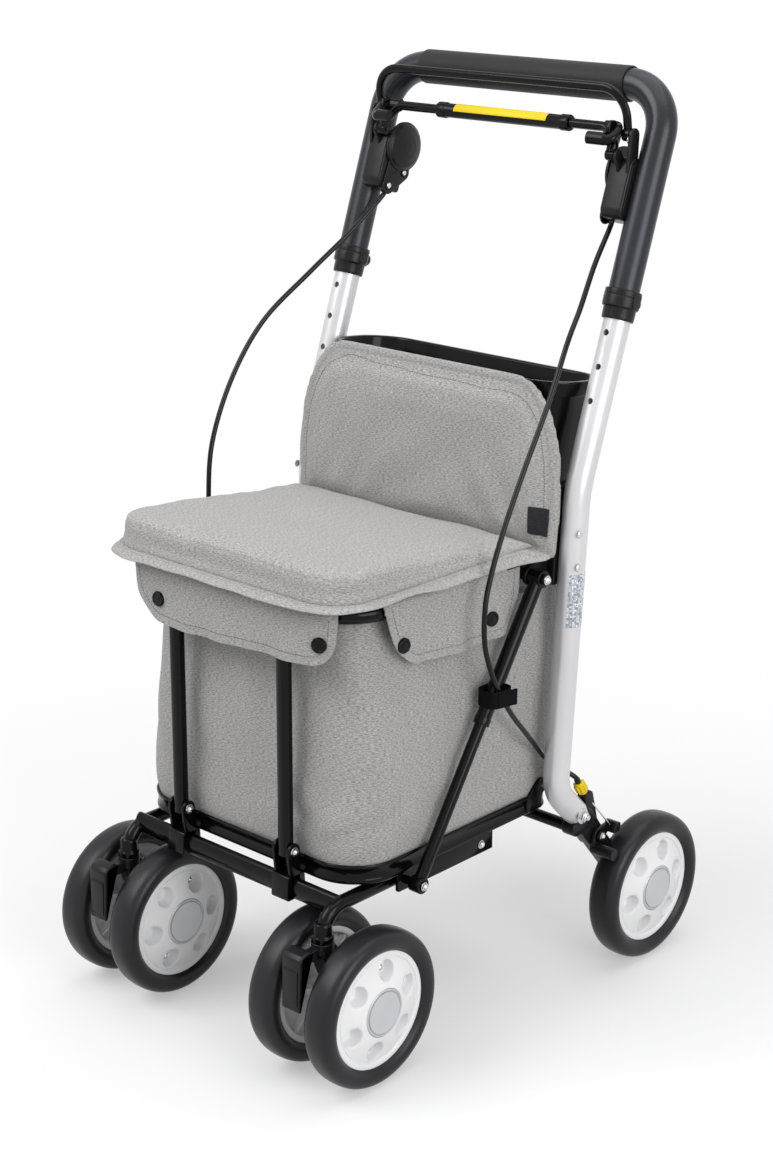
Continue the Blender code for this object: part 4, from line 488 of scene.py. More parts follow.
def stitches(form, path, normals, pitch, length, radius):
    """A row of thread dashes: one small capsule, set along the path's heading at every pitch, as one array."""
    path, normals = np.asarray(path, float), np.asarray(normals, float)
    both = resample(path, pitch)
    along = travelled(path)
    up = unit(read_off(np.linspace(0, along[-1], len(both)), along, normals))
    heading = unit(np.gradient(both, axis=0))
    side = unit(np.cross(heading, up))
    up = np.cross(side, heading)
    t = np.array((-0.5, -0.42, 0.0, 0.42, 0.5)) * length
    r = np.array((0.15, 0.75, 1.0, 0.75, 0.15)) * radius
    lift = np.array((-0.6, 0.0, 0.45, 0.0, -0.6)) * radius
    w = all_round(5)
    shape = (
        both[:, None, None] + heading[:, None, None] * t[None, :, None, None]
        + side[:, None, None] * (r[:, None] * np.cos(w))[None, ..., None]
        + up[:, None, None] * (r[:, None] * np.sin(w) + lift[:, None])[None, ..., None]
    )
    count = len(shape)
    first = (np.arange(count) * 25)[:, None, None] + form.count
    i, j = np.meshgrid(np.arange(4), np.arange(5), indexing="ij")
    k = (j + 1) % 5
    quads = np.stack([i * 5 + j, i * 5 + k, (i + 1) * 5 + k, (i + 1) * 5 + j], -1).reshape(-1, 4) + first
    ends = np.stack([np.arange(5), np.arange(20, 25)]) + first
    form.faces += quads.reshape(-1, 4).tolist() + ends.reshape(-1, 5).tolist()
    form.marks += [0] * (22 * count)
    form.points.append(shape.reshape(-1, 3))
    form.count += 25 * count
    return form


def inflate(obj, pressure, reach, keep):
    """Fills a closed cloth shape with air for twenty frames, and keeps its moves, each at most reach long, by keep."""
    rest = coordinates(obj.data)
    cloth = obj.modifiers.new("air", "CLOTH")
    settings = cloth.settings
    settings.use_pressure = True
    settings.uniform_pressure_force = pressure
    settings.mass = 0.15
    settings.tension_stiffness = settings.compression_stiffness = 15.0
    settings.bending_stiffness = 2.0
    settings.effector_weights.gravity = 0
    cloth.point_cache.frame_end = 20
    scene = bpy.context.scene
    for number in range(1, 21):
        scene.frame_set(number)
    graph = bpy.context.evaluated_depsgraph_get()
    move = coordinates(obj.evaluated_get(graph).to_mesh()) - rest
    obj.evaluated_get(graph).to_mesh_clear()
    size = np.linalg.norm(move, axis=1, keepdims=True)
    move = move * np.minimum(1, reach / np.maximum(size, 1e-9)) * keep(rest)[:, None]
    obj.modifiers.remove(cloth)
    scene.frame_set(1)
    set_coordinates(obj.data, rest + move)
    return obj


# Finishes

def tint(red, green, blue):
    """A screen colour, 0 to 255, as the light a shader wants: each share straightened out of its 2.4 power law."""
    share = np.array((red, green, blue), float) / 255
    light = np.where(share <= 0.04045, share / 12.92, ((share + 0.055) / 1.055) ** 2.4)
    return (*light.tolist(), 1.0)


class Wire:
    """A number that varies over a surface: an expression on it adds its Math nodes."""

    def __init__(self, net, socket):
        self.net, self.socket = net, socket

    def maths(self, operation, *values):
        """A Math node on values and wires."""
        return self.net.out(self.net.node("ShaderNodeMath", {"operation": operation}, dict(enumerate(values))))

    def __add__(self, other):
        return self.maths("ADD", self, other)

    def __mul__(self, other):
        return self.maths("MULTIPLY", self, other)

    def __sub__(self, other):
        return self.maths("SUBTRACT", self, other)

    def __rsub__(self, other):
        return self.maths("SUBTRACT", other, self)

    def __pow__(self, other):
        return self.maths("POWER", self, other)

    __radd__, __rmul__ = __add__, __mul__

    def wave(self):
        """The sine of it."""
        return self.maths("SINE", self)

    def size(self):
        """It without its sign."""
        return self.maths("ABSOLUTE", self)

    def between(self, low, high):
        """0 at low, 1 at high, smooth between and held outside."""
        settings = {"interpolation_type": "SMOOTHSTEP"}
        return self.net.out(self.net.node("ShaderNodeMapRange", settings, {0: self, 1: low, 2: high, 3: 0.0, 4: 1.0}))


class Net:
    """A material's or a world's nodes, each added by its type, its settings and what its sockets hold or join."""

    def __init__(self, owner):
        self.owner = owner
        owner.use_nodes = True
        self.tree = owner.node_tree
        self.tree.nodes.clear()

    def node(self, kind, settings=None, sockets=None):
        """A new node: a socket is joined where its value is a wire, and set where it isn't."""
        node = self.tree.nodes.new(kind)
        for key, value in (settings or {}).items():
            setattr(node, key, value)
        for key, value in (sockets or {}).items():
            if isinstance(value, Wire):
                self.tree.links.new(value.socket, node.inputs[key])
            else:
                node.inputs[key].default_value = value
        return node

    def out(self, node, key=0):
        """A node's output as a value to go on with."""
        return Wire(self, node.outputs[key])

    def place(self):
        """The point on the object."""
        return self.out(self.node("ShaderNodeTexCoord"), "Object")

    def cloth(self):
        """The point on the weave's map."""
        return self.out(self.node("ShaderNodeUVMap", {"uv_map": "cloth"}))

    def stretch(self, vector, scale):
        """A place times a scale on each axis."""
        return self.out(self.node("ShaderNodeMapping", None, {"Vector": vector, "Scale": scale}))

    def noise(self, vector, scale=1.0, detail=2.0, rough=0.5):
        """Soft noise from 0 to 1."""
        sockets = {"Vector": vector, "Scale": scale, "Detail": detail, "Roughness": rough}
        return self.out(self.node("ShaderNodeTexNoise", None, sockets))

    def blend(self, share, a, b):
        """Colour a at share 0, b at 1 and their mix between."""
        return self.out(self.node("ShaderNodeMix", {"data_type": "RGBA"}, {0: share, 6: a, 7: b}), 2)

    def bump(self, height, distance, strength=1.0):
        """The surface's normal, tilted by a height times a distance."""
        sockets = {"Height": height, "Distance": distance, "Strength": strength}
        return self.out(self.node("ShaderNodeBump", None, sockets))

    def done(self, sockets):
        """The material, finished with a Principled shader."""
        shader = self.node("ShaderNodeBsdfPrincipled", None, sockets)
        self.node("ShaderNodeOutputMaterial", None, {0: self.out(shader)})
        return self.owner


def woven(name, light, dark, pitch):
    """Plain weave of heathered yarn: each thread's rise is the size of a sine, and a checker says which lies on top."""
    net = Net(bpy.data.materials.new(name))
    cloth = net.cloth()
    parts = net.node("ShaderNodeSeparateXYZ", None, {0: cloth})
    u, v = net.out(parts, 0), net.out(parts, 1)
    warp = (u * (math.pi / pitch)).wave().size()
    weft = (v * (math.pi / pitch)).wave().size()
    over = net.out(net.node("ShaderNodeTexChecker", None, {"Vector": cloth, "Scale": 1 / pitch}), 1)
    rise = warp * over + weft * (1 - over)
    along_warp = net.noise(net.stretch(cloth, (1500.0, 380.0, 1.0)), 1.0, 2.0, 0.6).between(0.36, 0.64)
    along_weft = net.noise(net.stretch(cloth, (290.0, 1500.0, 1.0)), 1.0, 2.0, 0.7).between(0.36, 0.64)
    yarn = along_warp * over + along_weft * (1 - over)
    share = yarn * 0.1 + along_weft * 0.66 + along_warp * 0.16 + (1 - rise) * 0.1
    colour = net.blend(share, light, dark)
    rough = 0.86 + yarn * 0.08
    return net.done({
        "Base Color": colour, "Roughness": rough, "Specular IOR Level": 0.25, "Sheen Weight": 0.12,
        "Sheen Roughness": 0.5, "Normal": net.bump(rise + yarn * 0.5, pitch * 0.16, 0.8),
    })


def coated(name, colour, rough, specular, grain, rise, drift=0.1, metallic=0.0, stretch=None):
    """A moulded, painted or drawn surface: fine grain as bump, and slow drifts of shade and roughness over it."""
    net = Net(bpy.data.materials.new(name))
    place = net.place()
    fine = net.noise(net.stretch(place, stretch) if stretch else place, grain, 2.0, 0.55)
    slow = net.noise(place, 14.0, 3.0, 0.6).between(0.3, 0.7)
    deep = tuple(c * (1 - drift) for c in colour[:3]) + (1.0,)
    pale = tuple(min(1.0, c * (1 + drift)) for c in colour[:3]) + (1.0,)
    return net.done({
        "Base Color": net.blend(slow * 0.6 + fine * 0.4, deep, pale), "Metallic": metallic,
        "Roughness": rough + (slow - 0.5) * (rough * 0.16) + (fine - 0.5) * (rough * 0.25),
        "Specular IOR Level": specular, "Normal": net.bump(fine, rise, 1.0),
    })


def honeycomb(name):
    """Reflective tape: small facets of pale blue, rose and white foil, with fine grey seams between them."""
    net = Net(bpy.data.materials.new(name))
    place = net.place()
    sockets = {"Vector": place, "Scale": 520.0, "Randomness": 0.35}
    cells = net.out(net.node("ShaderNodeTexVoronoi", {"feature": "DISTANCE_TO_EDGE"}, sockets))
    facet = net.out(net.node("ShaderNodeTexVoronoi", None, sockets), "Color")
    parts = net.node("ShaderNodeSeparateXYZ", None, {0: facet})
    seam = cells.between(0.01, 0.08)
    cool = net.blend(net.out(parts, 0).between(0.2, 0.8), tint(186, 198, 214), tint(238, 240, 243))
    foil = net.blend(net.out(parts, 1).between(0.45, 0.95), cool, tint(150, 150, 158))
    colour = net.blend(seam, tint(138, 140, 146), foil)
    rough = 0.22 + seam * 0.1
    return net.done({"Base Color": colour, "Roughness": rough, "Metallic": 0.2, "Normal": net.bump(seam, 0.0002)})


# Light yarn, dark yarn and the distance between threads; the grey fabric's are in its settings
CLOTHS = {
    "grey_fabric": None,
    "lining": ((96, 96, 98), (60, 60, 62), 0.0006),
    "plain_tag": ((38, 38, 41), (20, 20, 22), 0.0004),
}
# Colour, roughness, specular level, grain's scale and rise, and where they differ drift, metal and stretch
COATS = {
    "gloss_black_paint": ((8, 8, 9), 0.16, 0.16, 500, 0.00001),
    "satin_anthracite": ((42, 43, 48), 0.3, 0.35, 1600, 0.00003, 0.1, 0.35),
    "satin_silver": ((208, 208, 210), 0.32, 0.5, 700, 0.000006, 0.04, 0.42, (1.0, 1.0, 0.05)),
    "chrome": ((205, 206, 208), 0.14, 0.5, 300, 0.000004, 0.05, 1.0),
    "turned_metal": ((196, 197, 201), 0.38, 0.4, 1200, 0.000006, 0.04, 0.35),
    "tyre_rubber": ((26, 25, 28), 0.36, 0.28, 1300, 0.00003, 0.14),
    "grip_rubber": ((30, 30, 32), 0.52, 0.22, 2200, 0.0001, 0.14),
    "moulded_black": ((20, 20, 22), 0.32, 0.22, 1500, 0.00004),
    "rim_white": ((230, 230, 231), 0.34, 0.45, 800, 0.00001, 0.02),
    # the pockets' floors are the rim's white plastic; this grey is painted shade for the shadow deep in each pocket
    "pocket_grey": ((116, 118, 124), 0.5, 0.25, 800, 0.00001, 0.04),
    "yellow_plastic": ((226, 198, 22), 0.4, 0.3, 900, 0.00002, 0.05),
    "cable_black": ((12, 12, 13), 0.2, 0.24, 1500, 0.00002),
    "hook_and_loop": ((14, 14, 16), 0.85, 0.08, 2600, 0.0003, 0.3),
    "pale_thread": ((178, 176, 173), 0.8, 0.2, 3000, 0.00002),
    "grey_thread": ((96, 95, 94), 0.8, 0.2, 3000, 0.00002),
}
# The finishes made so far, by name
MADE = {}


def finish(name):
    """The material of this name, made when it is first asked for."""
    if name in MADE:
        return MADE[name]
    if name == "grey_fabric":
        look = bpy.context.scene.rollator_fabric
        MADE[name] = woven(name, (*look.pale, 1.0), (*look.deep, 1.0), look.thread)
    elif name in CLOTHS:
        light, dark, pitch = CLOTHS[name]
        MADE[name] = woven(name, tint(*light), tint(*dark), pitch)
    elif name in COATS:
        colour, *rest = COATS[name]
        MADE[name] = coated(name, tint(*colour), *rest)
    else:
        MADE[name] = honeycomb(name)
    return MADE[name]


def cloth_map(obj):
    """Gives each face corner its place in the face's main plane, in metres, as the weave's map."""
    mesh = obj.data
    layer = mesh.uv_layers.get("cloth") or mesh.uv_layers.new(name="cloth")
    loops, faces = len(mesh.loops), len(mesh.polygons)
    points = coordinates(mesh)
    corner = np.empty(loops, np.int32)
    mesh.loops.foreach_get("vertex_index", corner)
    normals = np.empty(faces * 3, np.float32)
    mesh.polygons.foreach_get("normal", normals)
    total = np.empty(faces, np.int32)
    mesh.polygons.foreach_get("loop_total", total)
    main = np.repeat(np.argmax(np.abs(normals.reshape(-1, 3)) * (1.0, 1.02, 1.04), 1), total)
    first = np.array((1, 0, 0))[main]
    second = np.array((2, 2, 1))[main]
    uv = np.stack([points[corner, first], points[corner, second]], 1)
    layer.data.foreach_set("uv", uv.astype(np.float32).ravel())
    return obj


# Pieces

def wheel_profile():
    """Half a tyre's section by a curve through crown, shoulder, wall and bead, then the other half mirrored."""
    half = mm([
        (0, 75), (5, 74.8), (9.5, 73.9), (13, 71.9), (15.2, 68.8), (16, 65), (15.6, 61.8), (14.5, 59.4), (13, 57.7),
    ])
    bead = mm([(12.2, 57.2), (11.7, 56.4), (10.9, 56)])
    side = np.concatenate([spline(half, 0.0016), bead])
    return np.concatenate([(side * (-1, 1))[::-1], side[1:]])


def rim_face(turn, cone_in, cone_out, ring_r, mouth_r, deep, heights):
    """Six like sectors of the dished face. Round each pocket, rays run out to the sector's edge, and rows between
    the mouth and that edge share the way; inside the mouth the rows shrink and sink along the pocket's section.
    Returns rows by rays of (along the axle, spoke, across), turned to each sector's angle."""
    edge_a, edge_b = math.radians(30), math.tan(math.radians(30))
    corners = [
        math.atan2(s * r * math.sin(edge_a), r * math.cos(edge_a) - ring_r)
        for r in (cone_in, cone_out) for s in (-1, 1)
    ]
    phi = np.sort(np.unique(np.concatenate([np.radians(np.arange(-180, 180, 7.5)), corners]).round(6)))
    c, s = np.cos(phi), np.sin(phi)
    with np.errstate(divide="ignore", invalid="ignore"):
        reach = [edge_b * ring_r / (s - edge_b * c), -edge_b * ring_r / (s + edge_b * c)]
        inner = (ring_r * c) ** 2 - (ring_r**2 - cone_in**2)
        reach.append(np.where(inner > 0, -ring_r * c - np.sqrt(np.maximum(inner, 0)), np.inf))
        reach.append(-ring_r * c + np.sqrt((ring_r * c) ** 2 - (ring_r**2 - cone_out**2)))
    reach = np.min([np.where(np.nan_to_num(r, nan=-1) > 1e-6, r, np.inf) for r in reach], 0)
    out = mouth_r + (reach - mouth_r) * np.array((1.0, 0.66, 0.33, 0.0))[:, None]
    pocket = np.array([
        (0.99, 0.01), (0.965, 0.04), (0.935, 0.11), (0.905, 0.22), (0.84, 0.52), (0.78, 0.78), (0.745, 0.9),
        (0.7, 0.97), (0.6, 1.0), (0.3, 1.0), (0.0, 1.0),
    ])
    radii = np.concatenate([out, mouth_r * pocket[:, :1] * (1 + 0 * phi)])
    sink = np.concatenate([np.zeros(4), pocket[:, 1]]) * deep
    a, b = ring_r + radii * c, radii * s
    share = (np.hypot(a, b) - cone_in) / (cone_out - cone_in)
    middle = heights[0] + (heights[1] - heights[0]) * (ring_r - cone_in) / (cone_out - cone_in)
    face = heights[0] + (heights[1] - heights[0]) * share
    level = ease(0, 0.7, sink / deep)[:, None]
    along = face * (1 - level) + middle * level - sink[:, None]
    turns = np.radians(turn + 60 * np.arange(6))[:, None, None]
    spoke = a * np.cos(turns) - b * np.sin(turns)
    across = a * np.sin(turns) + b * np.cos(turns)
    return np.broadcast_to(along, spoke.shape), spoke, across


def spoke_at(degrees):
    """The direction at this angle round an axle, from the rear upwards."""
    return np.array((0.0, math.cos(math.radians(degrees)), math.sin(math.radians(degrees))))


def build_wheel(prefix, suffix, centre, outward, turn, sizes):
    """A turned tyre; a rim of pocketed sectors, a turned barrel and ribs behind; a turned cap; two pairs of nuts."""
    name = body = f"{prefix}_wheel_{suffix}"
    centre, axis = np.asarray(centre, float), outward * ACROSS
    ring_r = 0.0385
    tyre = Form().grid(lathe_grid(wheel_profile(), centre, axis, 96), True, ring=True)
    tyre.make(f"{name}_tyre", body, "tyre_rubber", f"{prefix}_tyre_{suffix}", sharp=40)
    rim = Form()
    cone = rim_face(turn, 0.0232, 0.0494, ring_r, sizes.pocket_radius, sizes.pocket_depth, (0.0166, 0.0101))
    for along, spoke, across in zip(*cone):
        points = centre + np.stack([outward * along, spoke, across], -1)
        # the rows from the pocket's floor inwards take the second finish: grey painted shade on the white floor
        rim.grid(points[:11], True).grid(points[10:], True, mark=1)
    barrel = turned([
        (10.1, 49.4), (9.2, 49.7), (9.2, 50.6), (10.8, 51.2), (10.8, 56), (-10.8, 56), (-10.8, 50.8), (-9.6, 50),
        (-1.2, 49.4), (-1.2, 15), (-3, 12.2), (-12.5, 11.5), (-13, 10.8), (-13, 4.8),
    ], 0.6, 3)
    rim.lathe(barrel, centre, axis, 84)
    web = cut([(12, -1), (49.6, -1), (49.6, -8.5), (12, -11.2)], 2, 3)
    for degrees in turn + 30 + 60 * np.arange(6):
        out, aside = spoke_at(degrees), spoke_at(degrees + 90)

        def rib(first, second, depth, out=out, aside=aside):
            """Points so far out from the axle, along it and aside."""
            return centre + first[:, None] * out + second[:, None] * axis + depth * aside

        rim.plate(web, rib, -0.0009, 0.0009, 0.0003)
    rim.make(f"{name}_rim", body, ["rim_white", "pocket_grey"], f"{prefix}_rim_{suffix}", sharp=50)
    radii = np.linspace(0.0, 0.0196, 99)
    ridges = np.stack([0.0175 + 0.00005 * np.cos(radii * (2 * math.pi / 0.0008)), radii], 1)
    edge = turned([
        (17.5, 19.7), (15.8, 20.1), (15.8, 20.8), (17.2, 21.1), (17.4, 22.2), (16.6, 22.9), (14, 23.3),
    ], 0.3, 3)
    cap = Form().lathe(np.concatenate([ridges, edge]), centre, axis, 72)
    cap.make(f"{name}_cap", body, "turned_metal", sharp=60)
    nuts = Form()
    for k in (1, 4):
        spot = centre + ring_r * spoke_at(turn + 60 * k)
        for base, way in ((outward * (0.0126 - sizes.pocket_depth), axis), (-0.0012 * outward, -axis)):
            at = spot + base * ACROSS
            nuts.lathe(mm([(0, 0), (0, 4.6), (0.4, 4.6), (0.6, 4.3)]), at, way, 24)
            nuts.nut(at + 0.0005 * way, way, 0.007, 0.0022, 15)
            nuts.ball(at + 0.0025 * way, way, 0.003, 0.0026)
    nuts.make(f"{name}_nuts", body, "chrome", sharp=30)


def pipe(path, normal, outer, inner):
    """A bored tube: the outer wall's rows, then the inner wall's in reverse, joined at both ends."""
    walls = [tube_grid(path, normal, radius, radius, 48) for radius in (outer, inner)]
    return Form().grid(np.concatenate([walls[0], walls[1][::-1]]), True, ring=True)


def sheet_form(face, back):
    """A sheet: its two faces, and the rims between their edges."""
    form = Form().grid(face).grid(back)
    for edge in ((0,), (-1,), (slice(None), 0), (slice(None), -1)):
        form.grid(np.stack([face[edge], back[edge]]))
    return form


def upright_path(x):
    """An upright's middle line: from the foot forwards, up from its bend, and back along the leg."""
    return rounded_path([yz(FOOT_ROOT, x), yz(FOOT_BEND, x), yz(LEG_BEND, x), on_leg(0.226, 0, x)], (0.04, 0.12), 16)


def build_uprights():
    """Bored tubes with a row of holes; tape as two sheets of cosines round a tube; rivets, bolts and cross bars."""
    trim = Form()
    for side, sign in SIDES:
        x, outwards = sign * UPRIGHT_X, (sign, 0, 0)
        tube = pipe(upright_path(x), ACROSS, 0.0127, 0.0111)
        obj = tube.make(f"upright_tube_{side}", "rear_frame", "satin_silver", f"upright_{side}")
        holes = LOCK_AT - 0.032 * np.arange(-1, 4)
        cut_holes(obj, [(on_leg(along, -0.02, x), on_leg(along, 0.02, x), 0.003) for along in holes])
        trim.pin(BASE_PIVOT, sign * 0.1582, sign * 0.1432, 0.003, 16)
        for z, y in ((0.462, 0.0775), (0.43, 0.0765)):
            trim.ball((sign * 0.1825, y, z), outwards, 0.0036, 0.0018)
        trim.bolt(yz(BASE_PIVOT, sign * 0.1429), (-sign, 0, 0), 0.0034, 0.0028)
        z = np.linspace(0.372, 0.4235, 24)
        path = resample(upright_path(x), 0.0015)
        middle = np.stack([0 * z + x, np.interp(z, path[:, 2], path[:, 1]), z], 1)[:, None]
        w = np.linspace(-1.05, 1.05, 24)
        spokes = np.stack([sign * np.cos(w), np.sin(w), 0 * w], -1)
        tape = sheet_form(middle + 0.01295 * spokes, middle + 0.0126 * spokes)
        tape.make(f"reflective_strip_{side}", "rear_frame", "reflective_tape", sharp=40)
    trim.make("upright_rivets", "rear_frame", "chrome", sharp=30)
    for name, place, half, radius, node in (
        ("rear_cross_bar", LOW_CROSS, 0.1622, 0.006, "rear_cross_tube"),
        ("back_cross_bar", (0.097, 0.452), 0.1472, 0.0078, "back_cross_tube"),
    ):
        Form().pin(place, -half, half, radius, 28).make(name, "rear_frame", "gloss_black_paint", node)


def build_handle():
    """The bored U tube, the grip and the collars turned about it, each collar's two pads, and the height buttons."""
    corners = mirrored([on_leg(0.1721, 0, -UPRIGHT_X), on_leg(GRIP_AT, 0, -UPRIGHT_X)])
    tube = pipe(rounded_path(corners, (0.045, 0.045), 24), LEG_FORWARD, 0.0146, 0.01315)
    tube.make("push_handle", "handle", "satin_anthracite", "handle_tube")
    outline = turned([(-125.5, 14.8), (-125.5, 16), (-124.5, 16.7), (124.5, 16.7), (125.5, 16), (125.5, 14.8)], 0.7)
    Form().lathe(outline, on_leg(GRIP_AT, 0, 0), ACROSS, 64).make("grip", "handle", "grip_rubber", "grip_sleeve")
    collar = turned([
        (0, 13.1), (0, 14.8), (2, 15.1), (10.8, 15.3), (11.4, 16.9), (12.2, 17.2), (21, 17.2), (21.4, 16.9), (22, 16.9),
        (22.4, 17.2), (27.2, 17.2), (28, 16.3), (28, 14.9),
    ], 0.4, 3)
    pad = cut([(172.6, -5.2), (185, -5.2), (185, 5.2), (172.6, 5.2)], 2)
    knob = turned([
        (-4.5, 0), (-4.5, 2.9), (0, 2.9), (0, 5.6), (1.2, 6), (5.2, 6), (6.4, 5), (5.8, 3.2), (5.6, 0),
    ], 0.5, 3)
    for side, sign in SIDES:
        x = sign * UPRIGHT_X
        ring = Form().lathe(collar, on_leg(0.1595, 0, x), LEG_UP, 56)
        for way in (-1, 1):
            ring.plate(pad, plane_leg, x + way * 0.016, x + way * 0.018, 0.0006)
        ring.make(f"stepped_collar_{side}", "handle", "moulded_black", f"collar_{side}")
        button = Form().lathe(knob, on_leg(LOCK_AT, -0.0176, x), -LEG_FORWARD, 36)
        button.make(f"height_knob_{side}", f"button_{side}", "moulded_black", f"height_button_{side}")


def build_brake_gear():
    """Cases and covers of plates and turned discs; the brake bar and the parking rail carried along bent paths."""
    for side, sign in SIDES:
        build_brake_case(side, sign)
    path = mirrored([on_leg(*LEVER_EYE, -0.152), on_leg(0.361, 0.0437, -0.152)])
    normal = np.cross(path[1] - path[0], ACROSS)
    bar = Form().tube(rounded_path(path, (0.027, 0.027), 28), normal, 0.0034, 0.0042, 28)
    for sign in (1, -1):
        bar.eye(LEVER_EYE, sign * 0.1479, sign * 0.1561, 0.006)
    bar.make("brake_bar", "lever", "gloss_black_paint", "brake_lever")
    path = mirrored([on_leg(*PARK_EYE, -0.141), on_leg(0.314, 0.0265, -0.141), on_leg(*PARK_BAR, -0.128)])
    normal = np.cross(path[1] - path[0], ACROSS)
    rail = Form().tube(rounded_path(path, (0.008, 0.012, 0.012, 0.008), 12), normal, 0.005, 0.0045, 28)
    for sign in (1, -1):
        rail.eye(PARK_EYE, sign * 0.1365, sign * 0.146, 0.0055)
    hook = cut([
        (298, 20), (300, 31), (314, 33), (323.5, 40), (332, 39.5), (334.5, 33), (333, 21), (322, 18.5), (312, 19.5),
    ], 3.5)
    for sign in (1, -1):
        rail.plate(hook, plane_leg, sign * 0.1415, sign * 0.1372, 0.001, mark=1)
        curl = [on_leg(along, forward, sign * x) for along, forward, x in mm([
            (329, 25, 126), (328.5, 29, 144), (315, 40, 144), (314.5, 43, 122.5),
        ])]
        rail.tube(rounded_path(curl, (0.006, 0.006), 12), LEG_FORWARD, 0.0046, 0.006, 24, mark=1)
    sleeve = turned([
        (-81, 0), (-81, 6.9), (-79.8, 7.7), (-71, 7.7), (-70.4, 6.8), (70.4, 6.8), (71, 7.7), (79.8, 7.7), (81, 6.9),
        (81, 0),
    ], 0.4, 3)
    rail.lathe(sleeve, on_leg(*PARK_BAR, 0.005), ACROSS, 40, mark=1)
    rail.make("park_rail", "park", ["gloss_black_paint", "moulded_black"], "park_bar")
    w = np.linspace(-0.95, 0.95, 20)[None, :, None]
    x, lift = mm([(-53, 6.6), (-52.5, 7.1), (60.5, 7.1), (61, 6.6)]).T[..., None, None]
    face = unit(LEG_FORWARD * 0.75 + LEG_UP * 0.66)
    strip = on_leg(*PARK_BAR, 0) + x * ACROSS + lift * (np.cos(w) * face + np.sin(w) * np.cross(ACROSS, face))
    Form().grid(strip).make("park_strip", "park", "yellow_plastic", sharp=60)


def build_brake_case(side, sign):
    """One side's case with its levers' ends, and the round cover with its two lobes and screws on its inner face."""
    inner, face = -sign * ACROSS, sign * 0.1369
    case = Form()
    case.plate(cut([
        (248, -12), (248, 16.5), (254, 21.5), (300, 21.5), (306, 15.5), (306, -4), (296, -12),
    ], 4, 6), plane_leg, sign * 0.1372, sign * 0.161, 0.0022)
    case.plate(cut([
        (252, -9), (252, 14.5), (256, 18.5), (297, 18.5), (302, 12.5), (302, -2), (294, -9),
    ], 3), plane_leg, sign * 0.1605, sign * 0.1616, 0.0005)
    case.strap(LEVER_EYE, 0.0065, (0.294, 0.0155), 0.0075, plane_leg, sign * 0.1568, sign * 0.1602, 0.0008)
    case.eye(LEVER_EYE, sign * 0.1585, sign * 0.1464, 0.0022)
    case.strap(PARK_EYE, 0.006, (0.292, 0.0155), 0.006, plane_leg, sign * 0.1466, sign * 0.1496, 0.0008)
    case.eye(PARK_EYE, sign * 0.148, sign * 0.135, 0.002)
    case.make(f"brake_case_{side}", "handle", "moulded_black", f"brake_housing_{side}")
    disc = turned([
        (0, 0), (0, 24.5), (2.2, 24.5), (3, 24), (3.4, 22.6), (5.2, 20.5), (7.6, 12), (8.6, 4.5), (8.7, 0),
    ], 0.8)
    cover, screws = Form().lathe(disc, on_leg(*DISC_MIDDLE, face), inner, 60), Form()
    lobes = (((0.269, -0.0109), 0.0075, 0.002), ((0.252, 0.0073), 0.0085, 0.0018))
    (high, high_r, _), (low, low_r, _) = lobes
    cover.strap(high, high_r, low, low_r, plane_leg, face, face - sign * 0.0022, 0.0007, 16)
    for place, radius, thick in lobes:
        cover.strap(place, radius - 0.0003, DISC_MIDDLE, 0.015, plane_leg, face, face - sign * thick, 0.0007, 16)
        at = on_leg(*place, face - sign * 0.0022)
        rise, shares = np.array((0, 0, 0.001, 0.001, 0.0002)), np.array((0, 0.62, 0.6, 0.44, 0.42))
        cover.lathe(rounded_profile(np.stack([rise, shares * radius], 1), 0.0002, 2), at, inner, 28)
        screws.ball(at + 0.0001 * inner, inner, radius * 0.38, 0.0012)
    screws.bolt(on_leg(0.319, 0.0255, sign * 0.1558), (sign, 0, 0), 0.0032, 0.0022)
    screws.ball(on_leg(0.306, -0.012, face - sign * 0.0052), inner, 0.0018, 0.0008, 16)
    cover.make(f"brake_disc_{side}", "handle", "moulded_black", f"brake_cover_{side}")
    screws.make(f"brake_screws_{side}", "handle", "chrome")


def mirrored(points):
    """A path's points, and the same points reflected in the middle plane, in reverse."""
    points = np.asarray(points, float)
    return np.concatenate([points, (points * (-1, 1, 1))[::-1]])


def clevis(form, bolts, pivot, foot, eye_r, foot_r, x_mid, bolt_r, bolt_h):
    """Two ears each side of a front bar, with the pin through them and a bolt's head on each end."""
    for way in (-1, 1):
        form.strap(pivot, eye_r, foot, foot_r, plane_yz, x_mid + way * 0.0076, x_mid + way * 0.0106, 0.0007)
    form.pin(pivot, x_mid - 0.0106, x_mid + 0.0106, 0.003, 16)
    for way in (-1, 1):
        bolts.bolt(yz(pivot, x_mid + way * 0.0106), (way, 0, 0), bolt_r, bolt_h)


def hem_row(inset, z):
    """The lid's outline so far in from its edge. Outwards the hem droops, most at the rear corners, lifts by a bell at
    the front right one, and waves a little; the rear corners also reach out."""
    outline = box_outline(0.16 - inset, -0.22 + inset, 0.0505 - inset, 0.05 - inset * 0.8, 14, 0.008)
    row = np.column_stack([sided(outline, 14, (60, 80, 60, 80)), np.full(340, z)])
    x, y = row[:, 0].copy(), row[:, 1].copy()
    corner = np.exp(-((np.abs(x) - 0.165) ** 2 + (y - 0.053) ** 2) / 0.024 ** 2)
    beside = ease(0.12, 0.155, np.abs(x))
    out = ease(0.011, 0.0, inset)
    row[:, 2] -= out * (0.002 + 0.0026 * beside + 0.0022 * corner) * ease(0.06, 0.04, y + 0.014 * (1 - beside))
    row[:, 2] += out * 0.0058 * np.exp(-((x - 0.16) ** 2 + (y + 0.15) ** 2) / 0.065 ** 2)
    row[:, 2] += out * hills(row, 5, 0.055, 0.0008)
    row[:, 0] += np.sign(x) * corner * out * 0.0085
    row[:, 1] += corner * out * 0.0095
    return row


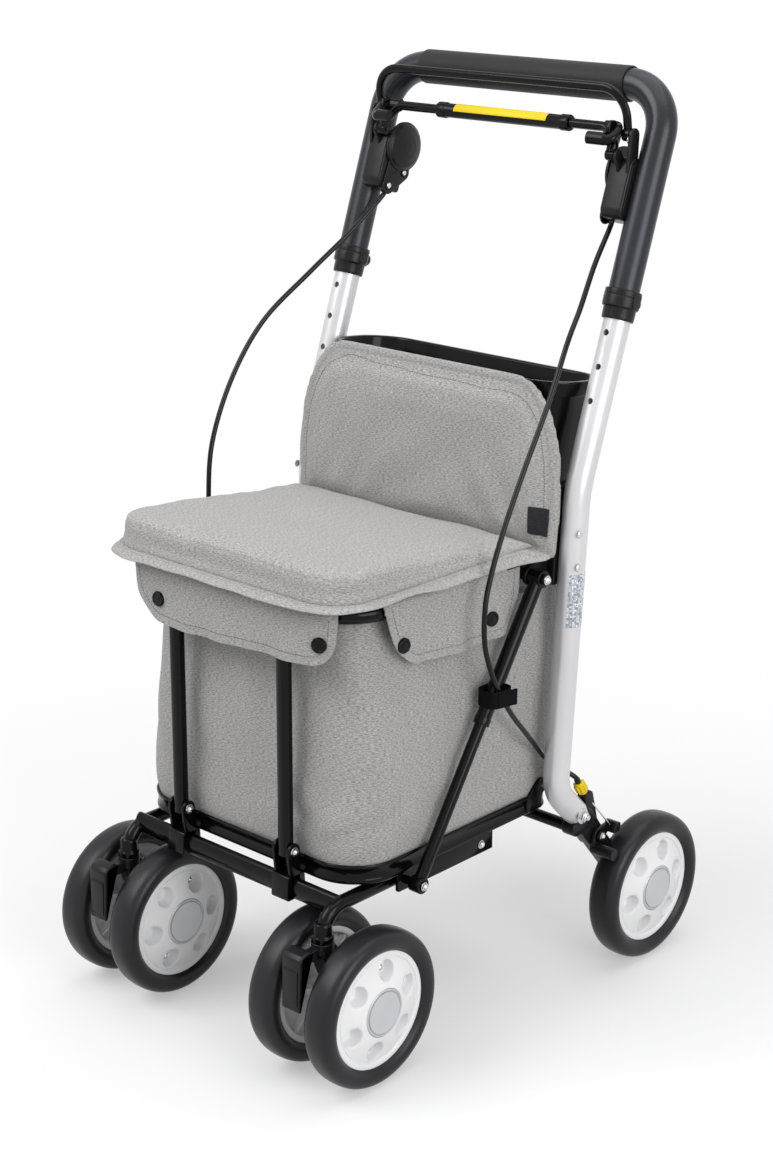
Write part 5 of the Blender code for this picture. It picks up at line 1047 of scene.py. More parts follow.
def build_seat_frame():
    """The ring carried along a round-cornered outline, with clevises, lugs and hinge leaves; the lid's rim as rows of
    its outline, each further in and higher, with a line of stitches along its hem."""
    outline = box_outline(0.137, -0.182, 0.038, 0.045, 14, 0.02)
    path = np.column_stack([outline, np.full(len(outline), RING_Z)])
    ring, bolts = Form().tube(path, UP, 0.008, 0.008, 28, closed=True), Form()
    for _, sign in SIDES:
        clevis(ring, bolts, BAR_TOP, (-0.182, 0.431), 0.0075, 0.0065, sign * BAR_X, 0.0034, 0.0026)
        ring.strap(SEAT_PIVOT, 0.0085, (0.022, RING_Z), 0.007, plane_yz, sign * 0.1472, sign * 0.1432, 0.0008)
    for x in HINGE_STARTS:
        leaf = mm([(36, 434), (42, 434), (52.4, 448.6), (50, 448.6)])
        ring.plate(leaf, plane_yz, x + 0.0004, x + 0.0196, 0.0003)
        ring.pin(HINGE, x, x + 0.02, 0.0024, 20)
        ring.pin(HINGE, x + 0.01, x + 0.036, 0.001, 12)
    ring.make("seat_ring", "seat", "gloss_black_paint", "seat_frame")
    bolts.make("seat_ring_bolts", "seat", "chrome", sharp=30)
    board = Form().grid(np.array([hem_row(inset, z) for inset, z in mm([
        (20, 445.6), (10, 445.6), (3, 446.4), (0.6, 446.6), (0, 447.3), (0.4, 448.1), (2.2, 448.8), (6, 450),
        (10, 451.1), (20, 451.2),
    ])]), True, (True, True))
    for start in np.array(HINGE_STARTS) + 0.0205:
        board.pin(HINGE, start, start + 0.017, 0.0024, 20, mark=1)
        leaf = mm([(42, 446.5), (51.2, 447), (51.2, 450.2), (42, 450)])
        board.plate(leaf, plane_yz, start + 0.0004, start + 0.0166, 0.0003, mark=1)
    board.make("lid_rim", "lid", ["grey_fabric", "gloss_black_paint"], "seat_board", sharp=55)
    line = hem_row(0.0076, 0.45068)
    line = open_part(line, line[:, 1] < 0.043)
    thread = stitches(Form(), line, np.broadcast_to(UP, line.shape), 0.0034, 0.0026, 0.0003)
    thread.make("lid_rim_stitches", "lid", "pale_thread", merge=0)


def open_part(ring, keep):
    """The run of a closed line's points that are kept, from its first."""
    return np.roll(ring, -int(np.argmax(keep & ~np.roll(keep, 1))), 0)[: int(keep.sum())]


def resample_ring(outline, count):
    """A closed outline's points at equal steps, from its first point."""
    ring = np.concatenate([outline, outline[:1]])
    along = travelled(ring)
    return read_off(np.linspace(0, along[-1], count + 1)[:-1], along, ring)


def remeshed(form, name):
    """The shape as even faces of one size."""
    obj = placed(name, form.mesh(name))
    change = obj.modifiers.new("even", "REMESH")
    change.mode, change.voxel_size = "VOXEL", 0.0036
    return applied(obj)


def finer(obj):
    """One subdivision, applied."""
    change = obj.modifiers.new("round", "SUBSURF")
    change.levels = change.render_levels = 1
    return applied(obj)


def reshape(obj, change):
    """Moves all of an object's points by a function of their array."""
    set_coordinates(obj.data, change(coordinates(obj.data)))
    return obj


def box_depth(points, half_x, front, rear, corner):
    """How far inside a round-cornered rectangle each point lies, in plan."""
    middle = (front + rear) / 2
    q = np.abs(points[..., :2] - (0, middle)) - (half_x - corner, (rear - front) / 2 - corner)
    return corner - np.linalg.norm(np.maximum(q, 0), axis=-1) - np.minimum(np.max(q, -1), 0)


def lid_top(points):
    """The cushion's top: a slope from front to rear with a crown that is the product of two parabolas."""
    slope = (points[..., 1] + 0.22) / 0.268
    reach = np.maximum(0, 1 - (points[..., 0] / 0.16) ** 2)
    reach = reach * np.maximum(0, 1 - ((points[..., 1] + 0.086) / 0.134) ** 2)
    return 0.478 - 0.0245 * slope + 0.006 * reach


def on_pad(points, pad, lift):
    """The nearest places on a pad's skin, so far above it."""
    mesh = bpy.data.meshes.new("marks")
    mesh.from_pydata(points.reshape(-1, 3).tolist(), [], [])
    marks = placed("marks", mesh)
    change = marks.modifiers.new("lay", "SHRINKWRAP")
    change.target, change.offset, change.wrap_mode = pad, lift, "ABOVE_SURFACE"
    graph = bpy.context.evaluated_depsgraph_get()
    graph.update()
    laid = coordinates(marks.evaluated_get(graph).data)
    bpy.data.objects.remove(marks)
    bpy.data.meshes.remove(mesh)
    return laid.reshape(points.shape)


def pad_stitches(line, pad, name, body, colour, pitch, length):
    """Stitches along a line that is laid on a pad, each standing up from its skin there."""
    low, high = on_pad(line, pad, 0.0001), on_pad(line, pad, 0.0011)
    stitches(Form(), low, unit(high - low), pitch, length, 0.0003).make(name, body, colour, merge=0)


def build_cushion(look):
    """Rows of the lid's outline from its board to its crowned top, filled with air and then sewn: a piped seam and
    puckers pull its side in, and dents and hills crease its top."""
    base = 0.449
    rows = []
    for inset, share in (
        (0.02, 0), (0.001, 0), (0.0002, 0.12), (0, 0.4), (0.0002, 0.64), (0.001, 0.82), (0.003, 0.93),
        (0.0065, 0.985), (0.012, 1), (0.03, 1), (0.06, 1), (0.095, 1),
    ):
        total = 0.0088 + inset
        outline = box_outline(0.16 - total, -0.22 + total, 0.0535 - inset, max(0.043 - inset * 0.7, 0.012), 14, 0.008)
        ring = resample_ring(outline, 240)
        rows.append(np.column_stack([ring, base + (lid_top(ring) - base) * share]))
    obj = remeshed(Form().grid(np.array(rows), True, (True, True)), "seat_pad")

    def free(points):
        """0 at the board and at the rear edge, 1 away from them."""
        return ease(0.452, 0.459, points[:, 2]) * ease(0.0, 0.014, 0.048 - points[:, 1])

    inflate(obj, look.air, look.swell, free)
    finer(obj)

    def sew(points):
        """The side moved in by the seam's bell and the puckers' sines, the top moved up by hills and dents."""
        depth = box_depth(points, 0.1512, -0.2112, 0.0535, 0.043)
        top = lid_top(points)
        share = np.clip((points[:, 2] - base) / (top - base), 0, 1.2)
        seam = np.exp(-((points[:, 2] - top + 0.005) / 0.0013) ** 2) * ease(0.009, 0.002, depth) * 0.0009
        inwards = unit(((0.0, -0.086, 0.465) - points) * (1, 1, 0) + 1e-9)
        around = np.arctan2(points[:, 1] + 0.086, points[:, 0]) * 9
        pucker = 0.0006 * np.sin(around * 3.1 + 2 * np.sin(around)) * ease(0.012, 0.0, depth)
        pucker = pucker * np.exp(-((share - 0.5) / 0.3) ** 2)
        points = points + inwards * (seam + pucker)[:, None] * ease(0.05, 0.03, points[:, 1])[:, None]
        dents = sag(points, [
            ((0.75, -0.65, 0.0), 0.02, 0.3, 0.0016, (0.138, 0.022, 0.455), 0.02),
            ((1.0, 0.1, 0.0), 0.03, 1.0, 0.001, (0.12, 0.03, 0.455), 0.02),
            ((-0.8, -0.6, 0.0), 0.022, 0.8, 0.0012, (-0.138, 0.022, 0.455), 0.02),
        ])
        points[:, 2] += (hills(points, 11, 0.075, 0.001) + dents) * ease(0.5, 1.0, share)
        return np.minimum(points, (1.0, 0.0545, 0.4855))

    reshape(obj, sew)
    dress(obj, "lid", "grey_fabric", "seat_cushion", sharp=70)
    line = sided(box_outline(0.1515, -0.2115, 0.036, 0.043, 14, 0.01), 14, (60, 80, 60, 80))
    line = np.column_stack([line, lid_top(line) - 0.005])
    line = open_part(line, line[:, 1] < 0.012)
    pad_stitches(line, obj, "seat_pad_stitches", "lid", "pale_thread", 0.0036, 0.0024)


# The back pad's right side: (z, x)
BACK_SIDE = spline(mm([
    (436, 161.5), (438.5, 163), (448, 164.8), (487.5, 166.4), (518, 165), (537, 162.5), (560, 155.6), (578, 146.8),
    (592.5, 135), (600.5, 121), (604, 102),
]), 0.002)


def back_outline():
    """The panel's outline as (x, z): the measured right side upwards and its mirror image downwards."""
    side = BACK_SIDE[:, ::-1]
    return resample_ring(np.concatenate([side, side[::-1] * (-1, 1)]), 320)


def back_depth(points):
    """How far inside the panel's outline each point lies, seen from the front: its gap to the side, top or foot."""
    z, half = BACK_SIDE.T
    slope = np.interp(points[..., 2], z, np.gradient(half, z))
    beside = (np.interp(points[..., 2], z, half) - np.abs(points[..., 0])) / np.sqrt(1 + slope ** 2)
    return np.minimum(beside, np.minimum(z[-1] - points[..., 2], points[..., 2] - z[0]))


def build_backrest(look):
    """Rows of the panel's outline from its flat rear to its face, filled with air and then sewn: a groove inside the
    hem, creases and hills; then the hem's stitches and a bare tag laid on it."""
    low, high = BACK_SIDE[0, 0], BACK_SIDE[-1, 0]
    middle = (low + high) / 2
    outline = back_outline()

    def rear(z):
        """The panel's flat rear: y rises with z."""
        return 0.07 + (z - 0.4475) * 0.038

    def shrunk(inset):
        """The outline drawn towards its middle by about this much."""
        return outline[:, 0] * (1 - inset / 0.165), middle + (outline[:, 1] - middle) * (1 - 2 * inset / (high - low))

    rows = []
    for inset, depth in mm([
        (30, 0.4), (10, 0.4), (1.6, 0.6), (0.4, 2), (0, 4), (0.4, 6), (1.4, 7.4), (8, 8.2), (11, 9), (16, 10.6),
        (26, 12.4), (45, 13.6),
    ]):
        x, z = shrunk(inset)
        thick = 1 + (np.interp(z, (low, 0.5, high), (1.25, 1.05, 0.6)) - 1) * ease(0.04, 0.012, inset)
        rows.append(np.stack([x, rear(z) - depth * thick, z], 1))
    obj = remeshed(Form().grid(np.array(rows), True, (True, True)), "back_pad")

    def free(points):
        """0 at the hem and at the rear, 1 away from them."""
        return ease(0.011, 0.03, back_depth(points)) * ease(0.006, 0.011, rear(points[:, 2]) - points[:, 1])

    inflate(obj, look.air, look.swell * 0.6, free)
    finer(obj)

    def sew(points):
        """The face moved back by the groove's bell and forth by the hem's step, with soft creases inside them."""
        depth = back_depth(points)
        face = ease(0.003, 0.006, rear(points[:, 2]) - points[:, 1])
        groove = np.exp(-((depth - 0.01) / 0.0012) ** 2) * 0.0007
        step = ease(0.01, 0.0088, depth) * ease(0.0004, 0.002, depth) * 0.0005
        soft = sag(points, [
            ((0.8, 0, 0.6), 0.042, 0.4, 0.0011, (0.09, 0.055, 0.475), 0.05),
            ((0.5, 0, -0.85), 0.06, 1.2, 0.001, (-0.02, 0.055, 0.47), 0.07),
            ((0.9, 0, 0.3), 0.05, 2.0, 0.0008, (-0.11, 0.055, 0.56), 0.05),
            ((0.9, 0, -0.45), 0.036, 0.9, 0.0012, (-0.09, 0.055, 0.47), 0.045),
            ((0.85, 0, 0.5), 0.03, 0.2, 0.0012, (0.128, 0.055, 0.462), 0.03),
        ]) + hills(points, 21, 0.085, 0.001)
        points[:, 1] += face * (groove - step + soft * ease(0.01, 0.03, depth))
        points[:, 1] = np.maximum(points[:, 1], 0.0528)
        return points

    reshape(obj, sew)
    dress(obj, "rear_frame", "grey_fabric", "backrest", sharp=70)
    x, z = shrunk(0.0092)
    line = np.stack([x, np.full(len(x), 0.05), z], 1)[z > 0.456]
    line = line[np.argsort(np.arctan2(line[:, 2] - 0.45, line[:, 0]))]
    pad_stitches(line, obj, "back_stitches", "rear_frame", "grey_thread", 0.0032, 0.0023)
    tag, inwards = [], np.array(((1, 1), (-1, 1), (-1, -1), (1, -1)))
    corners = mm([(139.8, 459.5), (159.8, 459.5), (159.8, 485.5), (139.8, 485.5)])
    for inset, lift in mm([(0, 0.2), (0, 1.2), (0.5, 1.6), (8, 1.7), (9.5, 1.7)]):
        x, z = resample_ring(soft_corners(corners + inset * inwards, 0.0004, 3), 64).T
        tag.append(on_pad(np.stack([x, np.full(64, 0.052), z], 1), obj, lift))
    Form().grid(np.array(tag), True, (False, True)).make("side_tag", "rear_frame", "plain_tag", sharp=50)


def build_basket():
    """An open bin: rings that widen and lean back from the floor to the rim, outside upwards and then inside down."""
    front, low_rear, high_rear, floor, rim_front, rim_rear = 0.079, 0.138, 0.17, 0.46, 0.5975, 0.5885

    def ring(share, grow, lift=0.0):
        """The bin's outline so far up from its floor, grown sideways and lifted."""
        half = 0.134 + (0.146 - 0.134) * share
        back = low_rear + (high_rear - 0.0035 - low_rear) * share
        corner = 0.024 + 0.014 * share
        plan = resample_ring(box_outline(half + grow, front - min(grow, 0.0), back + grow, corner + grow, 12), 200)
        top = rim_front + (rim_rear - rim_front) * (plan[:, 1] - front) / (high_rear - front)
        return np.column_stack([plan, floor + (top - floor) * share + lift])

    rows = [ring(*row) for row in (
        (0.0, -0.006), (0.0, -0.0015, 0.0004), (0.0, 0.0, 0.002), (0.02, 0.0), (0.25, 0.0), (0.5, 0.0), (0.75, 0.0),
        (0.885, 0.0), (0.893, 0.0004), (0.896, 0.003), (0.903, 0.0035), (0.985, 0.0035), (0.995, 0.0031),
        (1.0, 0.0022), (1.0, -0.0014), (0.995, -0.0022), (0.985, -0.0025), (0.75, -0.0025), (0.5, -0.0025),
        (0.25, -0.0025), (0.04, -0.0025), (0.0, -0.0032, 0.0035), (0.0, -0.006, 0.0027),
    )]
    form = Form().grid(np.array(rows), True, (True, True))
    form.make("rear_bin", "rear_frame", "gloss_black_paint", "basket", sharp=50)


# The bag's section at some heights: (z, half width, front, rear)
BAG_ROWS = mm([
    (181.5, 143, -178.5, 88), (201, 144, -179, 88.5), (215, 148, -182.5, 90.5), (250, 147, -181.5, 100),
    (300, 145, -180, 103), (390, 134.5, -173.5, 103), (405, 132, -173, 96), (418, 129.5, -172.2, 29),
    (438, 127, -171.5, 27),
])


def sided(outline, steps, counts):
    """A round-cornered outline with so many even points added along each straight side."""
    arcs = outline.reshape(4, steps + 1, 2)
    parts = []
    for arc, after, count in zip(arcs, np.roll(arcs, -1, 0), counts):
        t = np.linspace(0, 1, count + 2)[1:-1, None]
        parts += [arc, arc[-1] * (1 - t) + after[0] * t]
    return np.concatenate(parts)


def bag_wall(z, inset):
    """The bag's outline at each height: its table's rows joined, smoothed by a running mean, then wrinkled outwards."""
    half, front, rear = read_off(z, BAG_ROWS[:, 0], BAG_ROWS[:, 1:]).T
    half, front = [np.convolve(np.pad(a, 4, mode="edge"), np.ones(9) / 9, "valid") for a in (half, front)]
    rows = []
    for q, h, f, r in zip(z, half, front, rear):
        outline = box_outline(h - inset, f + inset, r - inset, 0.042 - inset, 12, 0.011 - inset)
        outline = sided(outline, 12, (60, 80, 60, 70))
        wide = 0.1446 / h if 0.225 < q < 0.406 else 1.0
        outline[:, 0] *= 1 + (wide - 1) * ease(-0.06, 0.075, outline[:, 1])
        rows.append(np.column_stack([outline, np.full(len(outline), q)]))
    rows = np.array(rows)
    out = unit((rows - (0, -0.058, 0)) * (1, 1, 0))
    fold = sag(rows, [
        ((1.0, 0, 0.25), 0.075, 0.6, 0.0022, (0.02, -0.18, 0.33), 0.08),
        ((0.8, 0, 0.5), 0.06, 2.4, 0.0016, (-0.06, -0.18, 0.26), 0.06),
        ((0.7, 0.7, 0.35), 0.05, 1.0, 0.0026, (0.115, -0.15, 0.39), 0.06),
        ((0.2, 0.9, 0.4), 0.07, 0.2, 0.0024, (0.143, -0.08, 0.33), 0.08),
        ((0.0, 0.8, -0.6), 0.052, 1.5, 0.002, (0.143, 0.01, 0.27), 0.06),
        ((0.6, 0.6, -0.5), 0.034, 0.3, 0.0016, (0.13, -0.15, 0.225), 0.045),
        ((-0.6, 0.6, -0.5), 0.036, 0.9, 0.0016, (-0.13, -0.15, 0.225), 0.045),
        ((0.3, -0.9, 0.4), 0.065, 2.2, 0.0022, (-0.143, -0.06, 0.32), 0.08),
        ((0.9, 0, 0.4), 0.07, 0.2, 0.002, (0.0, 0.088, 0.33), 0.09),
        ((0.0, 1.0, 0.12), 0.034, 0.5, 0.0024, (0.143, 0.058, 0.34), 0.06),
        ((0.0, 0.9, 0.5), 0.06, 1.1, 0.0026, (0.143, -0.045, 0.225), 0.05),
        ((0.55, 0.35, -0.75), 0.046, 0.3, 0.0034, (0.118, -0.168, 0.222), 0.034),
        ((-0.5, 0.0, -0.85), 0.052, 1.4, 0.0026, (0.07, -0.18, 0.225), 0.036),
    ])
    lumps = hills(rows, 31, 0.11, 0.0018)
    lively = ease(0.205, 0.235, rows[..., 2]) * ease(0.415, 0.4, rows[..., 2])
    return rows + out * ((fold + lumps - 0.0008) * lively)[..., None]


def build_bag():
    """The bag's wall and its lining as rows of its outline, with piping and a line of stitches down each rear seam."""
    z = np.concatenate([np.linspace(0.1815, 0.405, 62), np.linspace(0.4062, 0.418, 11), np.linspace(0.421, 0.438, 6)])
    outer, inner = bag_wall(z, 0.0), bag_wall(z[::-1], 0.0016)
    inner[-1, :, 2] += 0.0016
    shell = Form().grid(outer, True, (True, False)).grid(np.stack([outer[-1], inner[0]]), True)
    shell.grid(inner, True, (False, True), mark=1)
    thread = Form()
    for _, sign in SIDES:
        wall = outer[3:61]
        place = np.argmin(np.abs(wall[0, :, 1] - 0.0835) + 10 * (np.sign(wall[0, :, 0]) != sign))
        path = wall[:, place] + (sign * 0.0008, 0, 0)
        shell.hose(path, 0.0015, 10)
        outwards = np.broadcast_to((sign, 0.0, 0.0), path.shape)
        stitches(thread, path + (sign * 0.0006, -0.0045, 0), outwards, 0.0034, 0.0026, 0.00028)
    bag = shell.make("carry_bag", "base", ["grey_fabric", "lining"], "bag", sharp=60)
    threads = thread.make("bag_stitches", "base", "grey_thread", merge=0)
    for piece in (bag, threads):
        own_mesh(piece)


def wrap_sheet(rows, thick, lead):
    """A sheet of its outer rows and the same rows moved in by its thickness."""
    normal = unit(np.cross(np.gradient(rows, axis=1), np.gradient(rows, axis=0)))
    if np.sum(normal[-4:].mean((0, 1))[:2] * lead) < 0:
        normal = -normal
    return sheet_form(rows, rows - normal * thick)


def stud(form, at, outward):
    """A press stud: a turned disc with a raised rim."""
    profile = turned([(-0.8, 0), (-0.8, 7.2), (1, 7.2), (2, 6.6), (2, 5.2), (1.2, 4.8), (1.4, 3), (1.8, 0)], 0.4, 3)
    return form.lathe(profile, at, outward, 32)


def build_flap(name, plan, lead, edge, drape, spots, node):
    """A flap hung over the ring. Its skin is a function of the way along the plan and the height: the plan's point
    there, moved out by a flare that grows downwards and a wave that runs along. A lower edge from its table ends it,
    the hem's stitches run 8 mm inside that edge, and the studs stand on it."""
    heading = unit(np.gradient(plan, axis=0))
    outward = np.stack([heading[:, 1], -heading[:, 0]], 1)
    if np.sum(outward.mean(0) * lead) < 0:
        outward = -outward
    along = travelled(plan)
    along = along - np.interp(0.0, plan[:, 0], along) if abs(lead[1]) > 0 else plan[:, 1]
    turn_over = mm([(-19, 441.2), (-12, 441.8), (-6, 441.2), (-2.5, 439.2), (-0.8, 436), (-0.4, 432)])

    def skin(s, z, out=None):
        """The point so far along the plan at this height, moved out by the drape or by a given distance."""
        share = np.clip((RING_Z - z) / 0.045, 0, 1.3)
        wave = sum(size * np.sin(s * (2 * math.pi / length) + start) for size, length, start in drape)
        move = -0.0004 + 0.0016 * share + wave * share ** 1.4 if out is None else out
        point = read_off(s, along, plan) + np.asarray(move)[..., None] * read_off(s, along, outward)
        return np.concatenate([point, np.broadcast_to(z, s.shape)[..., None]], -1)

    edge = spline(edge, 0.0015)
    s, place = np.unique(edge[:, 0].round(5), return_index=True)
    low = np.minimum(edge[place, 1], 0.4315)
    rows = [skin(s, z, out) for out, z in turn_over]
    rows = np.array(rows + [skin(s, RING_Z + (low - RING_Z) * share) for share in np.linspace(0, 1, 22)[1:]])
    cloth = wrap_sheet(rows, 0.0014, lead).make(name, "seat", "grey_fabric", node, sharp=50)
    down, across = np.diff(rows, axis=0)[:, 1:], np.diff(rows, axis=1)[1:]

    def outwards(s, z):
        """The skin's normal: the cross product of its two slopes."""
        step = 0.0005
        return unit(np.cross(skin(s + step, z) - skin(s - step, z), skin(s, z + step) - skin(s, z - step)) + 1e-12)

    way = 1 if np.sum(outwards(s, low)[len(s) // 2, :2] * lead) > 0 else -1
    middle = np.array(((s[0] + s[-1]) / 2, 0.45))
    across = unit(np.gradient(edge, axis=0))
    hem = np.stack([-across[:, 1], across[:, 0]], 1)
    hem *= np.sign(np.sum(hem * (middle - edge), 1))[:, None]
    line = edge + hem * 0.0078
    line = line[(line[:, 1] < 0.434) & (line[:, 1] > low.min())]
    normal = outwards(line[:, 0], line[:, 1]) * way
    thread = stitches(Form(), skin(line[:, 0], line[:, 1]) + normal * 0.0001, normal, 0.0032, 0.0024, 0.0003)
    thread.make(f"{name}_stitches", "seat", "grey_thread", merge=0)
    studs = Form()
    for at in spots:
        s, z = at[:1], at[1:]
        normal = way * outwards(s, z)[0]
        stud(studs, skin(s, z)[0] + 0.0004 * normal, normal)
    studs.make(f"{name}_studs", "seat", "gloss_black_paint", sharp=30)


def build_flaps():
    """The front flap on a plan of two quarter circles and the straight between, and a straight flap on each side."""
    turn = np.radians(np.linspace(0, 90, 24))[:, None]
    left = (-0.099, -0.1545) - 0.05 * np.hstack([np.cos(turn), np.sin(turn)])
    right = (0.099, -0.1545) + 0.05 * np.hstack([np.sin(turn), -np.cos(turn)])
    plan = resample(np.concatenate([left, right]), 0.0015)
    build_flap("front_skirt", plan, (0.0, -1.0), mm([
        (-118.6, 442), (-117.2, 430), (-112.5, 410.2), (-103.6, 400), (-92.6, 392), (-79.1, 387.2), (-50, 385.3),
        (-17.7, 385.8), (39.1, 389.3), (76.6, 390.3), (104.2, 391.5), (118.6, 393.8), (124.7, 397.5), (130, 403.5),
        (133.2, 412), (134.5, 422), (135.2, 433), (135.6, 442),
    ]), ((0.0014, 0.075, 0.6), (0.001, 0.041, 2.0)), mm([(-81.2, 408.8), (119, 411.8)]), "front_flap")
    for side, sign in SIDES:
        plan = np.stack([np.full(140, sign * 0.1478), np.linspace(-0.156, 0.04, 140)], 1)
        build_flap(f"side_skirt_{side}", plan, (float(sign), 0.0), mm([
            (-147.6, 442), (-146.6, 433), (-143.9, 421.5), (-140, 410), (-134, 397.5), (-124.5, 387), (-112.5, 379.5),
            (-90, 376.2), (-57.5, 374.2), (-22.7, 373.8), (0.9, 374), (11.6, 376.7), (22.1, 385.4), (30, 398.5),
            (33.5, 415), (34.5, 442),
        ]), ((0.0014, 0.062, 0.9), (0.0008, 0.03, 0.0)), mm([(-126.2, 399.3), (-5.9, 393.5)]), f"side_flap_{side}")


def build_front_bars():
    """Two posts: rows of a rounded oval, the power 0.8 of a circle's cosine and sine, smaller at both ends."""
    w = all_round(36)
    oval = [half * np.sign(way) * np.abs(way) ** 0.8 for half, way in ((0.007, np.cos(w)), (0.006, np.sin(w)))]
    low, high = 0.1945, 0.4285
    ends = [(low, 0.35), (low + 0.0008, 0.72), (low + 0.003, 1.0)]
    ends += [(high - 0.003, 1.0), (high - 0.0008, 0.72), (high, 0.35)]
    for side, sign in SIDES:
        x, y = sign * BAR_X, BAR_Y
        rows = [np.stack([x + share * oval[0], y + share * oval[1], np.full(36, z)], 1) for z, share in ends]
        form = Form().grid(np.array(rows), True, (True, True))
        form.make(f"front_post_{side}", "front_bars", "gloss_black_paint", f"front_bar_{side}")


def build_base():
    """The bent caster tubes with their turned sleeves, clevises and saddles, rails of a channel section, lugs and the
    oval cross bar; the tray as rings of one outline, from its underside over its rim to its floor."""
    frame_form, bolts = Form(), Form()
    sleeve = turned([(0, 0), (0, 10.5), (5, 10.5), (6.8, 9), (16, 8.2), (18, 7), (18, 0)], 0.8, 3)
    saddle = cut([(-204.2, 156), (-180, 156), (-181.5, 180), (-203, 180)], 3, 4)
    channel = cut([
        (-12.6, 157.5), (-12.6, 177.7), (12.6, 177.7), (12.6, 157.5), (10.6, 157.5), (10.6, 175.7), (-10.6, 175.7),
        (-10.6, 157.5),
    ], 0.6, 2)
    lug = cut([(-125, 158), (-88, 158), (-88, 177.5), (-125, 177.5)], 3, 4)
    for _, sign in SIDES:
        x, rail_face = sign * CASTER_X, sign * (CASTER_X + 0.0126)
        corners = [(x, -0.066, 0.1665), (x, CASTER_Y, 0.1665), (x, CASTER_Y, 0.142)]
        frame_form.tube(rounded_path(corners, (0.024,), 18), ACROSS, 0.007, 0.007, 36)
        frame_form.lathe(sleeve, (x, CASTER_Y, 0.138), UP, 48)
        clevis(frame_form, bolts, BAR_FOOT, (-0.193, 0.1705), 0.0078, 0.0058, sign * BAR_X, 0.004, 0.0032)
        frame_form.plate(saddle, plane_yz, sign * BAR_X - 0.0106, sign * BAR_X + 0.0106, 0.0008)

        def along_y(first, second, depth, x=x):
            """Points of a section that is square to the rail, at y = depth."""
            return np.stack([x + first, np.full_like(first, depth), second], -1)

        frame_form.plate(channel, along_y, -0.096, 0.009, 0.0003)
        frame_form.pin(BRACE_FOOT, x, sign * 0.1524, 0.004, 20)
        frame_form.plate(lug, plane_yz, sign * (CASTER_X + 0.0095), rail_face, 0.0006)
        bolts.bolt((rail_face, -0.008, 0.1668), (sign, 0, 0), 0.0036, 0.003)
    cross = mm([(-132, -193, 166.5), (132, -193, 166.5)])
    frame_form.tube(cross, (0, 1, 0), 0.006, 0.0106, 36)
    frame_form.make("front_frame", "base", "gloss_black_paint", "fork_frame")
    bolts.make("front_frame_bolts", "base", "chrome", sharp=30)
    rows = []
    for inset, z in mm([
        (8, 178), (3.2, 178), (1.2, 178.6), (0.3, 180), (0.8, 182.6), (1.4, 183.6), (1.4, 192), (0.8, 192.8), (0, 194),
        (0, 195.8), (0.6, 196.8), (1.4, 197), (2.1, 196.6), (2.4, 195.6), (2.8, 183), (4, 180.8), (8, 180.2),
    ]):
        outline = box_outline(0.148 - inset, -0.184 + inset, 0.092 - inset, 0.05 - inset, 14, 0.018 - inset)
        rows.append(np.column_stack([resample_ring(outline, 240), np.full(240, z)]))
    tray = Form().grid(np.array(rows), True, (True, True))
    for _, sign in SIDES:
        tray.strap(BASE_PIVOT, 0.008, (0.062, 0.188), 0.0095, plane_yz, sign * 0.1484, sign * 0.145, 0.0006)
    tray.make("load_tray", "base", "gloss_black_paint", "tray", sharp=45)


def build_casters():
    """Each caster's turned head, leg plates and axles, and its lock tab of plates about the lock's pin."""
    head = turned([(12, 0), (12, 5), (0, 5), (0, 10.5), (-9.5, 10.5), (-13, 7.8), (-13, 0)], 1)
    tab = cut([
        (-247, 139), (-238.5, 141.5), (-232, 137.5), (-245.5, 135), (-248, 85), (-251.5, 85), (-250.5, 135),
    ], 1.6)
    panel = cut([(-251.4, 90), (-252.1, 91), (-251.7, 123), (-250.9, 125)], 0.4, 3)
    for side, sign in SIDES:
        x = sign * CASTER_X
        fork = Form().lathe(head, (x, CASTER_Y, 0.1377), UP, 48)
        fork.strap((CASTER_Y + 0.002, 0.1262), 0.0105, FRONT_AXLE, 0.0115, plane_yz, x - 0.009, x + 0.009, 0.0022, 16)
        fork.strap((CASTER_Y, 0.1297), 0.006, LOCK_PIVOT, 0.0045, plane_yz, x - 0.0045, x + 0.0045, 0.001)
        for place, half, radius, sides in (
            (FRONT_AXLE, 0.0217, 0.0085, 32), (FRONT_AXLE, 0.0453, 0.004, 20), (LOCK_PIVOT, 0.011, 0.0018, 16),
        ):
            fork.pin(place, x - half, x + half, radius, sides)
        fork.make(f"caster_leg_{side}", f"caster_{side}", "moulded_black", f"caster_fork_{side}")
        flap = Form().plate(tab, plane_yz, x - 0.0112, x + 0.0112, 0.0016)
        flap.plate(panel, plane_yz, x - 0.0085, x + 0.0085, 0.0003)
        for way in (-1, 1):
            flap.strap(LOCK_PIVOT, 0.0045, (-0.246, 0.127), 0.004, plane_yz, x + way * 0.0051, x + way * 0.0091, 0.0006)
        flap.make(f"lock_tab_{side}", f"swivel_lock_{side}_body", "moulded_black", f"swivel_lock_{side}")


def on_brace(along, x):
    """The point so far along the stay from its top."""
    start = yz(BRACE_TOP, x)
    return start + unit(yz(BRACE_FOOT, x) - start) * along


